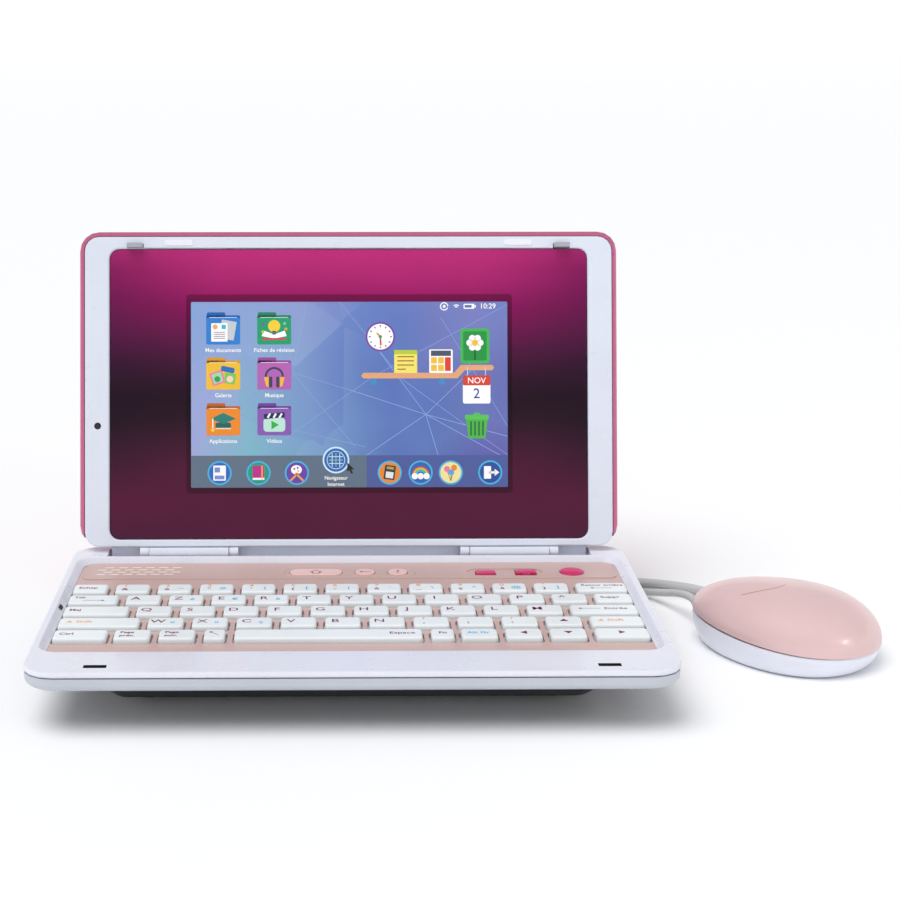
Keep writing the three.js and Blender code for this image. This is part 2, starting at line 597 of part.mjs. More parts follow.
function mouseShell() {
  const dome = (inset, steps) => [...domeRings(inset, steps), eggRing(0.1, MOUSE.h - inset)];
  const rim = domeRings(SHELL_T, 1)[0];
  const skirt = rim.map(([x, y, z]) => [x, y, z - 3]);
  const outer = toSolid(loft(dome(0, 7)));
  const hollow = toSolid(loft([skirt, ...dome(SHELL_T, 5)]));
  const crease = creaseStrip().subtract(toSolid(loft(dome(CREASE.depth, 7))));
  return toGeometry(outer.subtract(hollow).subtract(crease));
}

// Round hole for the strain relief, along the lead's own direction.
function noseHole() {
  const [x, t, z] = CORD_PATH[0];
  const r = RELIEF.r + GAP;
  const hole = new THREE.CylinderGeometry(r, r, 2 * RELIEF.length, 16).translate(0, -RELIEF.length + 2, 0);
  hole.rotateZ(THREE.MathUtils.degToRad(RELIEF.heading)).translate(x - MOUSE.x, t - MOUSE.t, z);
  return toSolid(hole.rotateZ(-THREE.MathUtils.degToRad(MOUSE.heading)));
}

function mouseBase() {
  const side = [[0.81, 0], [0.89, 0.1], [0.945, 0.36], [0.98, 0.66], [1, 0.95], [0.99, 1]];
  const outer = side.map(([scale, share]) => eggRing(scale, (y) => share * parting(0)(y)));
  const inner = [[0.92, 1], [0.9, 0.5], [0.85, 0.22]].map(
    ([scale, share]) => eggRing(scale, (y) => share * parting(0)(y)));
  return toGeometry(toSolid(loft([...outer, ...inner])).subtract(noseHole()));
}

function mouseBoard() {
  return toGeometry(box(-16, 16, -22, 20, 3.6, 5.2));
}

// Tapered sleeve from one point to another.
function sleeve(from, to, r0, r1) {
  const length = from.distanceTo(to);
  const profile = [[0, 0], [r0, 0], [r0, length * 0.45], [r1, length], [0, length]];
  const geometry = new THREE.LatheGeometry(profile.map(([x, y]) => new THREE.Vector2(x, y)), 12);
  const along = to.clone().sub(from).normalize();
  const turn = new THREE.Quaternion().setFromUnitVectors(new THREE.Vector3(0, 1, 0), along);
  return geometry.applyQuaternion(turn).translate(from.x, from.y, from.z);
}

const cordPoints = CORD_PATH.map(([x, t, z]) => new THREE.Vector3(x, t, z));

function mouseCord() {
  const sides = 8;
  const section = new THREE.Shape(Array.from({ length: sides }, (_, i) => {
    const a = (2 * Math.PI * (i + 0.5)) / sides;
    return new THREE.Vector2(CORD_R * Math.cos(a), CORD_R * Math.sin(a));
  }));
  const curve = new THREE.CatmullRomCurve3(cordPoints, false, 'centripetal');
  return new THREE.ExtrudeGeometry(section, { steps: CORD_STEPS, extrudePath: curve, bevelEnabled: false });
}

function noseRelief() {
  const heading = THREE.MathUtils.degToRad(RELIEF.heading);
  const forward = new THREE.Vector3(-Math.sin(heading), Math.cos(heading), 0);
  const tip = cordPoints[0].clone().addScaledVector(forward, -GAP);
  return sleeve(tip.clone().addScaledVector(forward, -RELIEF.length), tip, RELIEF.r, RELIEF.tip);
}

function usbPlug() {
  const { w, h, length, tongue, tongueW, tongueH } = PLUG;
  const { x, z } = SOCKET;
  const face = CASE_D + 0.4;
  const grip = { x0: x - w / 2, x1: x + w / 2, y0: z - h / 2, y1: z + h / 2, r: 2.4 };
  const rings = [[0.5, face], [0, face + 0.6], [0, face + length - 3], [1.2, face + length]].map(
    ([inset, t]) => ring(grip, inset, 0).map(([across, up]) => [across, t, up]).reverse());
  const blade = box(x - tongueW / 2, x + tongueW / 2, CASE_D - 2 - tongue, face + 1,
    z - tongueH / 2, z + tongueH / 2);
  return toGeometry(toSolid(loft(rings)).add(blade));
}

function plugRelief() {
  const start = new THREE.Vector3(SOCKET.x, CASE_D + 0.6 + PLUG.length, SOCKET.z);
  const end = cordPoints[cordPoints.length - 1].clone().add(new THREE.Vector3(0, -GAP, 0));
  return sleeve(start, end, RELIEF.r, RELIEF.tip);
}

// ---- assembly ---------------------------------------------------------------------------------
addPiece(base, 'base_lower_case', lowerCase(), 'lower');
addPiece(base, 'base_upper_case', upperCase(), 'white');
addPiece(base, 'keyboard_deck', deck(), 'deck');
addPiece(base, 'key_membrane', slab(MEMBRANE), 'membrane');
addPiece(base, 'main_board', slab(BOARD), 'board');
addPiece(base, 'battery_pack', batteryPack(), 'battery');
addPiece(base, 'battery_cover', batteryCover(), 'lower');
addPiece(base, 'speaker', speaker(), 'rubber');
addPiece(base, 'usb_socket', usbSocket(), 'steel');
for (const [side, sign] of [['left', -1], ['right', 1]]) {
  addPiece(base, `foot_front_${side}`, foot(sign * FEET.side, FEET.front), 'rubber');
  addPiece(base, `foot_rear_${side}`, foot(sign * FEET.side, FEET.rear), 'rubber');
  addPiece(base, `hinge_pin_${side}`, hingePin(sign), 'steel');
  addPiece(lid, `hinge_knuckle_${side}`, knuckle(sign), 'bezel');
  addPiece(lid, `latch_hook_${side}`, latchHook(sign), 'grey');
  addPiece(lid, `bumper_${side}`, bumper(sign), 'white');
}
addPiece(lid, 'lid_rear_shell', lidShell(), 'pink');
addPiece(lid, 'lid_bezel', bezel(), 'bezel');
addPiece(lid, 'screen_window', windowPane(), 'window');
addPiece(lid, 'lcd_panel', lcdPanel(), 'lcd');
addPiece(lid, 'camera_lens', lens(), 'lens');
for (const { name, spans, row } of allGroups()) {
  addPiece(base, name, keyGroup(spans, row), 'key');
}
for (const [name, x, w, d, r, colour] of BUTTONS) {
  addPiece(base, name, button(x, w, d, r), colour);
}
addPiece(mouse, 'mouse_base', mouseBase(), 'mouseBase');
addPiece(mouse, 'mouse_shell', mouseShell(), 'pearl');
addPiece(mouse, 'mouse_board', mouseBoard(), 'board');
addPiece(base, 'mouse_strain_relief', noseRelief(), 'cord');
addPiece(base, 'mouse_cord', mouseCord(), 'cord');
addPiece(base, 'usb_plug', usbPlug(), 'grey');
addPiece(base, 'plug_strain_relief', plugRelief(), 'cord');

export default toy;
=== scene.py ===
"""Toy laptop computer with a wired mouse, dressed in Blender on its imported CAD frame.

Shapes are written in millimetres in three local frames, the same as the CAD source's: case (x from
the middle, t back from the front edge, z up), lid (x, u up the lid, n out of the screen) and mouse
(x to its right, y to its nose, z up).
"""

import math

import bmesh
import bpy
from mathutils import Matrix, Vector


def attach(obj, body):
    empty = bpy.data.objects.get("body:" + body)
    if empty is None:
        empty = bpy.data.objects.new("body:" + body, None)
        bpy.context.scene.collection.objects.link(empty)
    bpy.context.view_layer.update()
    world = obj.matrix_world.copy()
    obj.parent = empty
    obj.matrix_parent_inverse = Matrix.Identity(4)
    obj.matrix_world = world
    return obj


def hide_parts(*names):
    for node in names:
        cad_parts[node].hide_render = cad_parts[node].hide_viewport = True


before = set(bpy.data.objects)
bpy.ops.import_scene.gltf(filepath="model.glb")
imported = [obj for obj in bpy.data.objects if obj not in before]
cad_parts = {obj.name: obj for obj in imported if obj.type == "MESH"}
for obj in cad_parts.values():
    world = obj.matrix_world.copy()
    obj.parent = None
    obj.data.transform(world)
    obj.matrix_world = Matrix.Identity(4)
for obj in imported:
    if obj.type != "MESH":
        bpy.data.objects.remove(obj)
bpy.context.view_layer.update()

# ---- dimensions, in millimetres --------------------------------------------------------------
MM = 0.001
ORIGIN = (-51.82, -102.03, 0)
TOP_Z = 27.0
DECK_Z = 24.0
DECK_T = 1.7
GAP = 0.3
OPENING = {"side": 128.0, "front": 23.4, "rear": 147.3, "r": 8.0}
OPENING_FOOT_SIDE = 125.2
AXIS_T, AXIS_Z, LEAN = 153.2, 27.5, 15.2
WALL_PORT = {"x": -126.6, "t": 81.0, "z": 25.6, "turn": 47.0}
WINDOW = {"side": 114.4, "bottom": 6.0, "top": 145.0, "r": 4.8, "front": -0.6, "t": 1.6}
DISPLAY = {"x0": -75.5, "x1": 76.0, "y0": 30.7, "y1": 119.6, "r": 0.6}
KEY = {"pitch": 18.85, "w": 15.2, "d": 11.2, "top": TOP_Z - 0.8, "r": 2.0}
ROW_PITCH, ROW_BACK = 14.75, 110.4
FLANGE = {"top": DECK_Z - DECK_T - GAP, "t": 1.1, "margin": 1.15}
PLUNGER = {"half": 2.0, "z": 20.2}
HOLE_MARGIN = 0.75
STRIP = {"t": 131.0, "front": 122.6, "rear": 145.4, "rise": 0.5}
PILLS = {"x0": -30.9, "x1": 30.6, "half": 6.0, "r": 6.0}
LATCH = {"x": 102.0, "t": 7.0, "w": 9.15, "d": 3.35, "floor": 20.5}
GRILLE = {"x": -98.4, "t": 134.5, "w": 38.0, "d": 13.0, "rows": 4, "columns": 6}
MOUSE = {"x": 193.6, "t": 92.4, "heading": 54.0, "length": 42.7, "width": 33.0, "h": 30.7, "part": 11.8,
         "slope": 0.055, "taper": 0.004}
CREASE = {"from": -16.0, "to": 2.0, "y": 1.0, "bend": 0.053}
CLICK_GAP = 1.2
SHELL_T = 2.0
DOME_POWER = 0.85
CORD_D, CORD_LENGTH = 3.6, 660.0
SOCKET_X, SOCKET_Z = 85.0, 14.0
SLEEVE = {"nose": 8.0, "start": 3.0, "end": 2.3, "groove": 0.35, "heading": 14.0}
PLUG_BACK_T = 165.8 + 17
LIE, STACK = 1.9, 5.6
CORD_PATH = (
    (160.8, 126.4, 11.4), (159.6, 131.4, 11.6), (156.2, 141.6, 10), (151.2, 153, 6.4), (144, 164.6, 2.9),
    (133, 170.4, LIE), (112, 172, LIE), (66, 172, LIE), (34, 170.6, LIE), (18, 169.8, LIE), (7.5, 173.4, LIE),
    (3.6, 182.6, LIE), (8, 191.6, LIE), (19, 194.4, LIE), (30, 190.6, 2.6), (42, 182.6, 4.2), (54, 176, 5.4),
    (72, 174, STACK), (112, 174, STACK), (127, 174, STACK), (141, 172, 5.7), (156, 167.6, 5.8),
    (169, 162, 5.3), (183, 154.4, 3.2), (198, 150.6, LIE), (210, 155.6, LIE), (213.6, 166.6, LIE),
    (206, 177, LIE), (193, 178.6, LIE), (180, 172.4, LIE), (168, 168, LIE), (156, 171.2, LIE),
    (141, 175.6, LIE), (126, 177, LIE), (88, 177, LIE), (67, 180.4, LIE), (56.4, 191, LIE),
    (60, 204, 3.6), (73, 209.6, 8.6), (82.6, 203.4, 12.8), (SOCKET_X, 189.6, SOCKET_Z),
)

# Character rows, rear to front: body, start, (main, top, side) legends from left to right.
ROWS = (
    ("keys_number_row", -105.5, (
        ("&", "1", ""), ("é", "2", "~"), ('"', "3", "#"), ("'", "4", "{"), ("(", "5", "["), ("-", "6", "|"),
        ("è", "7", "`"), ("_", "8", "\\"), ("ç", "9", "^"), ("à", "0", "@"), (")", "°", "]"))),
    ("keys_upper_row", -99.2, (
        ("A", "", ""), ("Z", "", "é"), ("E", "", "€"), ("R", "", "è"), ("T", "", ""), ("Y", "", ""),
        ("U", "", ""), ("I", "", ""), ("O", "", ""), ("P", "", ""), ("^", "", ""))),
    ("keys_home_row", -93.0, tuple((letter, "", "") for letter in "QSDFGHJKLM")),
    ("keys_lower_row", -86.6, (
        ("W", "", "«"), ("X", "", "»"), ("C", "", "ç"), ("V", "", ""), ("B", "", ""), ("N", "", ""),
        (",", "?", ""), (";", ".", ""), (":", "/", ""))),
)
# Single keys: body, row, left and right edges, legend lines, ink.
SINGLES = (
    ("key_escape", 0, -124.5, -109.1, ("Echap",), "magenta"),
    ("key_backspace", 0, 101.85, 124.5, ("Retour arrière", "<--"), "magenta"),
    ("key_tab", 1, -124.5, -102.7, ("Tab", "-->"), "magenta"),
    ("key_delete", 1, 108.15, 124.5, ("Suppr",), "magenta"),
    ("key_caps", 2, -124.5, -96.4, ("Maj",), "magenta"),
    ("key_enter", 2, 95.5, 124.5, ("<-- Entrée",), "magenta"),
    ("key_shift_left", 3, -124.5, -90.2, ("^ Shift",), "orange"),
    ("key_up", 3, 83.05, 98.25, ("up",), "magenta"),
    ("key_shift_right", 3, 101.9, 124.5, ("^ Shift",), "orange"),
    ("key_control", 4, -124.5, -102.1, ("Ctrl",), "magenta"),
    ("key_space", 4, -49.0, 29.6, ("Espace",), "magenta"),
    ("key_left", 4, 64.4, 79.6, ("left",), "magenta"),
    ("key_down", 4, 83.05, 98.25, ("down",), "magenta"),
    ("key_right", 4, 101.9, 124.5, ("right",), "magenta"),
)
# Small grouped keys of the front row: body, spans with their legend lines and ink.
GROUPS = (
    ("keys_page", (
        ((-99.2, -84.0), ("Page", "préc."), "magenta"),
        ((-80.5, -65.3), ("Page", "suiv."), "magenta"),
        ((-61.7, -52.8), ("home",), "magenta"))),
    ("keys_fn", (
        ((33.2, 42.9), ("Fn",), "magenta"),
        ((45.8, 61.0), ("Alt Gr",), "cyan"))),
)
# Strip buttons: body, middle, width, depth, corner radius, record slot.
BUTTONS = (
    ("button_home", -15.7, 24.2, 8.8, 4.2, "button_pill"),
    ("button_back", 7.1, 9.0, 8.8, 4.2, "button_pill"),
    ("button_help", 22.3, 9.0, 8.8, 4.2, "button_pill"),
    ("button_volume_down", 63.2, 9.0, 7.6, 3.6, "button_magenta"),
    ("button_volume_up", 82.0, 9.4, 7.6, 3.6, "button_magenta"),
    ("button_power", 103.4, 11.0, 11.0, 5.4, "button_magenta"),
)
LEGEND = {"stretch": 1.15, "weight": 0.05}
INKS = {"magenta": "#7E1556", "orange": "#F09A2E", "cyan": "#3FB2DE", "white": "#FFFFFF"}


def frames():
    """Object matrices of the case, the opened lid and the mouse, in metres."""
    case = Matrix.Translation(Vector(ORIGIN) * MM)
    lid = case @ Matrix.Translation(Vector((0, AXIS_T, AXIS_Z)) * MM)
    lid = lid @ Matrix.Rotation(math.radians(90 - LEAN), 4, "X")
    mouse = case @ Matrix.Translation(Vector((MOUSE["x"], MOUSE["t"], 0)) * MM)
    mouse = mouse @ Matrix.Rotation(math.radians(MOUSE["heading"]), 4, "Z")
    return case, lid, mouse


CASE, LID, MOUSE_FRAME = frames()


def linear(code):
    """An sRGB hex colour as linear RGBA."""
    parts = [int(code[i:i + 2], 16) / 255 for i in (1, 3, 5)]
    return (*[c / 12.92 if c <= 0.04045 else ((c + 0.055) / 1.055) ** 2.4 for c in parts], 1.0)


# ---- camera, light and floor ------------------------------------------------------------------
# Place in metres, lens in millimetres, tilt from straight down and turn in degrees.
CAMERA = {"place": (-0.05899, -0.74071, 0.28042), "lens": 69.54, "shift": 0.11,
          "tilt": 75.637, "turn": -0.575}


def add_camera():
    data = bpy.data.cameras.new("camera")
    data.sensor_width = 36
    data.lens = CAMERA["lens"]
    data.shift_x = CAMERA["shift"]
    data.clip_start = 0.05
    camera = bpy.data.objects.new("camera", data)
    bpy.context.scene.collection.objects.link(camera)
    camera.location = CAMERA["place"]
    camera.rotation_euler = (math.radians(CAMERA["tilt"]), 0, math.radians(CAMERA["turn"]))
    bpy.context.scene.camera = camera


def add_light(name, size, power, place, target):
    data = bpy.data.lights.new(name, "AREA")
    data.shape = "RECTANGLE"
    data.size = data.size_y = size
    data.energy = power
    light = bpy.data.objects.new(name, data)
    bpy.context.scene.collection.objects.link(light)
    light.location = place
    light.rotation_euler = (Vector(target) - Vector(place)).to_track_quat("-Z", "Y").to_euler()


def add_stage(name, points, faces, colour, glow):
    mesh = bpy.data.meshes.new(name)
    mesh.from_pydata(points, [], faces)
    stage = bpy.data.objects.new(name, mesh)
    bpy.context.scene.collection.objects.link(stage)
    stage.location.z = -0.0002  # just under the feet
    paper = bpy.data.materials.new(name + "_paper")
    paper.use_nodes = True
    shader = paper.node_tree.nodes["Principled BSDF"]
    shader.inputs["Base Color"].default_value = colour
    shader.inputs["Roughness"].default_value = 0.8
    shader.inputs["Emission Color"].default_value = (1, 1, 1, 1)
    shader.inputs["Emission Strength"].default_value = glow
    mesh.materials.append(paper)


def add_backdrop():
    """A round pale floor, with a white glowing wall a long way off all the way round."""
    sides, radius, height = 64, 18.0, 6.0
    foot = [(x, y, 0.0) for x, y in circle(0, 0, radius, sides)]
    top = [(x, y, height) for x, y, _ in foot]
    wall = [(i, (i + 1) % sides, sides + (i + 1) % sides, sides + i) for i in range(sides)]
    add_stage("floor", foot, [tuple(range(sides))], (0.97, 0.97, 0.98, 1), 0.0)
    add_stage("wall", foot + top, wall, (0, 0, 0, 1), 1.0)


def add_studio():
    bpy.context.scene.view_settings.view_transform = "Standard"
    world = bpy.data.worlds.new("studio")
    bpy.context.scene.world = world
    world.use_nodes = True
    background = world.node_tree.nodes["Background"]
    background.inputs["Color"].default_value = (0.96, 0.98, 1.0, 1)
    background.inputs["Strength"].default_value = 0.45
    data = bpy.data.lights.new("sky_panel", "SUN")
    data.energy = 1.85
    data.angle = math.radians(45)
    sun = bpy.data.objects.new("sky_panel", data)
    bpy.context.scene.collection.objects.link(sun)
    sun.rotation_euler = Vector((0.3, 0.22, -0.93)).to_track_quat("-Z", "Y").to_euler()
    sun.visible_glossy = False
    add_light("spark_right", 0.12, 0.8, (0.85, -0.45, 0.5), (0.14, 0, 0.03))
    add_backdrop()


# ---- materials --------------------------------------------------------------------------------
class Surface:
    """A Principled material whose helper methods add procedural detail node by node."""

    def __init__(self, name, roughness, coat=0.0, metallic=0.0, specular=0.5):
        self.material = bpy.data.materials.new(name)
        self.material.use_nodes = True
        self.tree = self.material.node_tree
        self.shader = self.tree.nodes["Principled BSDF"]
        self.shader.inputs["Metallic"].default_value = metallic
        self.shader.inputs["Coat Weight"].default_value = coat
        self.shader.inputs["Coat Roughness"].default_value = 0.08
        self.shader.inputs["Specular IOR Level"].default_value = specular
        self.roughness = roughness
        self.place = self.node("ShaderNodeTexCoord").outputs["Object"]

    def node(self, kind, **settings):
        node = self.tree.nodes.new(kind)
        for name, value in settings.items():
            setattr(node, name, value)
        return node

    def link(self, output, target):
        self.tree.links.new(output, target)

    def noise(self, per_mm, detail=3.0):
        """Noise with about per_mm features in each millimetre."""
        node = self.node("ShaderNodeTexNoise")
        node.inputs["Scale"].default_value = per_mm / MM
        node.inputs["Detail"].default_value = detail
        self.link(self.place, node.inputs["Vector"])
        return node.outputs["Fac"]

    def mapped(self, value, low, high, from_low=0.35, from_high=0.65):
        node = self.node("ShaderNodeMapRange")
        node.inputs["From Min"].default_value = from_low
        node.inputs["From Max"].default_value = from_high
        node.inputs["To Min"].default_value = low
        node.inputs["To Max"].default_value = high
        self.link(value, node.inputs["Value"])
        return node.outputs["Result"]

    def mix(self, factor, a, b, blend="MIX"):
        """Mixes two colours, each a colour tuple or a socket, by a factor number or socket."""
        node = self.node("ShaderNodeMix", data_type="RGBA", blend_type=blend)
        for value, target in ((factor, node.inputs[0]), (a, node.inputs[6]), (b, node.inputs[7])):
            if isinstance(value, bpy.types.NodeSocket):
                self.link(value, target)
            else:
                target.default_value = value
        return node.outputs[2]

    def mottled(self, colour, amount=0.02, per_mm=0.03):
        """The colour with soft cloudy variation, and a painted highlight: a little lighter along convex
        edges.
        """
        dark = tuple(c * (1 - amount) for c in colour[:3]) + (1.0,)
        light = tuple(min(1.0, c * (1 + amount)) for c in colour[:3]) + (1.0,)
        cloudy = self.mix(self.mapped(self.noise(per_mm), 0, 1), dark, light)
        # Painted highlight: convex edges, found by pointiness, are lightened.
        edge = self.mapped(self.node("ShaderNodeNewGeometry").outputs["Pointiness"], 0, 0.1, 0.52, 0.62)
        return self.mix(edge, cloudy, tuple(min(1.0, 0.35 + 0.7 * c) for c in colour[:3]) + (1.0,))

    def finish(self, colour, grain=2.2, depth=0.006, spread=0.05):
        """Connects the colour, smudges in the gloss and, with a depth, a fine moulding grain."""
        self.link(colour, self.shader.inputs["Base Color"])
        smudge = self.mapped(self.noise(0.06, 5.0), self.roughness - spread, self.roughness + spread)
        self.link(smudge, self.shader.inputs["Roughness"])
        if depth:
            bump = self.node("ShaderNodeBump")
            bump.inputs["Strength"].default_value = 0.5
            bump.inputs["Distance"].default_value = depth * MM
            self.link(self.noise(grain, 2.0), bump.inputs["Height"])
            self.link(bump.outputs["Normal"], self.shader.inputs["Normal"])
        return self.material


def plastic(name, code, roughness=0.4, coat=0.0, metallic=0.0, **detail):
    surface = Surface(name, roughness, coat, metallic)
    return surface.finish(surface.mottled(linear(code)), **detail)


def pearl(name, code, glint, roughness, metallic):
    """Glossy paint with fine lighter flakes in it."""
    surface = Surface(name, roughness, coat=0.3, metallic=metallic)
    flakes = surface.node("ShaderNodeTexVoronoi")
    flakes.inputs["Scale"].default_value = 5 / MM
    surface.link(surface.place, flakes.inputs["Vector"])
    sparkle = surface.mapped(flakes.outputs["Distance"], 0.45, 0.0, 0.0, 0.35)
    colour = surface.mix(sparkle, surface.mottled(linear(code)), linear(glint))
    return surface.finish(colour, depth=0.003)


def ink(name, roughness, glow=0.0, grid=0.0):
    """Printed or lit colour, read from the mesh's own colour layer, with a display's fine cells."""
    surface = Surface(name, roughness)
    colour = surface.node("ShaderNodeAttribute", attribute_name="ink").outputs["Color"]
    if grid:
        cells = surface.node("ShaderNodeTexChecker")
        cells.inputs["Scale"].default_value = 2.4 / MM
        cells.inputs["Color1"].default_value = (1, 1, 1, 1)
        cells.inputs["Color2"].default_value = (1 - grid, 1 - grid, 1 - grid, 1)
        surface.link(surface.place, cells.inputs["Vector"])
        colour = surface.mix(1.0, colour, cells.outputs["Color"], "MULTIPLY")
    if glow:
        surface.link(colour, surface.shader.inputs["Emission Color"])
        surface.shader.inputs["Emission Strength"].default_value = glow
    return surface.finish(colour, depth=0.002)


def ramp(surface, value, stops):
    node = surface.node("ShaderNodeValToRGB")
    elements = node.color_ramp.elements
    for i, (position, code) in enumerate(stops):
        element = elements[i] if i < 2 else elements.new(position)
        element.position = position
        element.color = linear(code)
    surface.link(value, node.inputs["Fac"])
    return node.outputs["Color"]


def tinted_window(name, dim):
    """A smooth face with a fade in it: bright at the top, nearly black at mid height, wine below."""
    surface = Surface(name, 0.15, coat=0.04, specular=0.12)
    axes = surface.node("ShaderNodeSeparateXYZ")
    surface.link(surface.place, axes.inputs["Vector"])
    up = surface.mapped(axes.outputs["Y"], 0, 1, WINDOW["bottom"] * MM, WINDOW["top"] * MM)
    middle = ramp(surface, up, (
        (0.0, "#57183B"), (0.25, "#5A163B"), (0.33, "#4A1634"), (0.42, "#2E1125"), (0.48, "#240C20"),
        (0.54, "#31112A"), (0.66, "#5D1945"), (0.8, "#92165F"), (0.9, "#B52974"), (1.0, "#C6327D")))
    side = ramp(surface, up, (
        (0.0, "#4F1A3A"), (0.13, "#5A163B"), (0.27, "#3E142E"), (0.4, "#230C1F"), (0.5, "#230C1F"),
        (0.6, "#341330"), (0.72, "#5A1845"), (0.83, "#731753"), (0.93, "#8A1C5E"), (1.0, "#A82B6E")))
    off_axis = surface.node("ShaderNodeMath", operation="ABSOLUTE")
    surface.link(axes.outputs["X"], off_axis.inputs[0])
    outwards = surface.mapped(off_axis.outputs[0], 0, 1, 60 * MM, WINDOW["side"] * MM)
    tint = surface.mix(outwards, middle, side)
    clouds = surface.mapped(surface.noise(0.03), 0, 1)
    shade = surface.mix(clouds, (dim, dim, dim, 1), (dim * 0.94,) * 3 + (1,))
    return surface.finish(surface.mix(1.0, tint, shade, "MULTIPLY"), depth=0.0, spread=0.03)


def wallpaper():
    """Desktop picture: soft blue, violet and teal fields broken into flat shards."""
    surface = Surface("wallpaper", 0.25, coat=0.3)
    shards = surface.node("ShaderNodeTexVoronoi", feature="F1")
    shards.inputs["Scale"].default_value = 0.028 / MM
    surface.link(surface.place, shards.inputs["Vector"])
    bent = surface.node("ShaderNodeVectorMath", operation="SCALE")
    surface.link(shards.outputs["Color"], bent.inputs[0])
    bent.inputs["Scale"].default_value = 20 * MM
    moved = surface.node("ShaderNodeVectorMath", operation="ADD")
    surface.link(surface.place, moved.inputs[0])
    surface.link(bent.outputs["Vector"], moved.inputs[1])
    axes = surface.node("ShaderNodeSeparateXYZ")
    surface.link(moved.outputs["Vector"], axes.inputs["Vector"])
    across = surface.mapped(axes.outputs["X"], 0, 1, -66 * MM, 86 * MM)
    up = surface.mapped(axes.outputs["Y"], 0, 1, 40 * MM, 130 * MM)
    low = ramp(surface, across, (
        (0.0, "#A3A4D4"), (0.2, "#73B7C2"), (0.42, "#6392BE"),
        (0.62, "#365CAB"), (0.85, "#2F55A2"), (1.0, "#5450A4")))
    high = ramp(surface, across, (
        (0.0, "#7FA0D2"), (0.3, "#8E96CC"), (0.52, "#5C74BA"),
        (0.7, "#5F76BC"), (0.85, "#7470B4"), (1.0, "#6670B6")))
    field = surface.mix(up, low, high)
    lift = surface.mapped(shards.outputs["Distance"], 0.0, 0.2, 0.0, 0.8)
    colour = surface.mix(lift, field, linear("#8DA6DC"))
    surface.link(colour, surface.shader.inputs["Emission Color"])
    surface.shader.inputs["Emission Strength"].default_value = 0.05
    return surface.finish(colour, depth=0.0, spread=0.02)


def grey_plastic_painted_shade(name):
    """Grey moulded plastic with painted shade: it turns near black on the underside, where the base's shadow
    falls.
    """
    surface = Surface(name, 0.45)
    axes = surface.node("ShaderNodeSeparateXYZ")
    surface.link(surface.place, axes.inputs["Vector"])
    # Painted shade: from 17 mm down to 15.6 mm up, the colour fades to near black.
    side = surface.mapped(axes.outputs["Z"], 0, 1, 15.6 * MM, 17.0 * MM)
    dark, grey = surface.mottled(linear("#3A3B42")), surface.mottled(linear("#C4C8D1"))
    return surface.finish(surface.mix(side, dark, grey))


MATERIALS = {
    "case_white": plastic("case_white", "#E4E5F0", 0.3, coat=0.2),
    "case_grey": grey_plastic_painted_shade("case_grey"),
    "deck_pink": plastic("deck_pink", "#CDB0AA", 0.38, coat=0.1),
    "key_white": plastic("key_white", "#EBF1F3", 0.36, grain=3.0, depth=0.01),
    "bezel": plastic("bezel", "#DEE3F0", 0.32, coat=0.2),
    "lid_pink": pearl("lid_pink", "#C8668C", "#F2B8CC", 0.3, 0.35),
    "hook": plastic("hook", "#A6A8B2", 0.4),
    "bumper": plastic("bumper", "#EDEEF6", 0.6),
    "highlight_cloth": plastic("highlight_cloth", "#F7EBDD", 0.9),
    "dark": plastic("dark", "#1A1B22", 0.25),
    "foot": plastic("foot", "#3A3A40", 0.85, depth=0.03),
    "steel": plastic("steel", "#B9BDC4", 0.3, metallic=1.0),
    "board": plastic("board", "#2F6B45", 0.5),
    "battery": plastic("battery", "#4A4E58", 0.5),
    "membrane": plastic("membrane", "#D8D8DC", 0.7),
    "lcd": plastic("lcd", "#2A2D38", 0.25),
    "window": tinted_window("window", 0.93),
    "mask": tinted_window("mask", 0.5),
    "wallpaper": wallpaper(),
    "screen_ink": ink("screen_ink", 0.25, glow=0.05, grid=0.08),
    "legend_ink": ink("legend_ink", 0.4),
    "button_pill": plastic("button_pill", "#F1CBC7", 0.35, coat=0.2),
    "button_magenta": plastic("button_magenta", "#D9246B", 0.3, coat=0.4),
    "mouse_pearl": pearl("mouse_pearl", "#E2C0C0", "#F4DDDB", 0.34, 0.1),
    "mouse_white": plastic("mouse_white", "#EAECF7", 0.35, coat=0.2),
    "mouse_gap_shade": plastic("mouse_gap_shade", "#A8383E", 0.4),
    "mouse_crease_shade": plastic("mouse_crease_shade", "#B98583", 0.5),
    "cord": plastic("cord", "#C4C4C4", 0.55, depth=0.01),
}


# ---- mesh building ----------------------------------------------------------------------------
def rounded_rect(x0, x1, y0, y1, radius, seg=6):
    """Points round a rounded rectangle, anticlockwise."""
    r = max(0.05, min(radius, (x1 - x0) / 2 - 0.01, (y1 - y0) / 2 - 0.01))
    corners = ((x1 - r, y0 + r, -90), (x1 - r, y1 - r, 0), (x0 + r, y1 - r, 90), (x0 + r, y0 + r, 180))
    points = []
    for cx, cy, start in corners:
        for i in range(seg + 1):
            a = math.radians(start + 90 * i / seg)
            points.append((cx + r * math.cos(a), cy + r * math.sin(a)))
    return points


def circle(x, y, r, seg=32):
    angles = [2 * math.pi * i / seg for i in range(seg)]
    return [(x + r * math.cos(a), y + r * math.sin(a)) for a in angles]


def ring(rect, inset, z, seg=6):
    x0, x1, y0, y1, r = rect
    outline = rounded_rect(x0 + inset, x1 - inset, y0 + inset, y1 - inset, r - inset, seg)
    return [(x, y, z) for x, y in outline]


def stack(rect, steps, seg=6):
    """Rings of one rounded rectangle at (inset, height) steps."""
    return [ring(rect, inset, z, seg) for inset, z in steps]


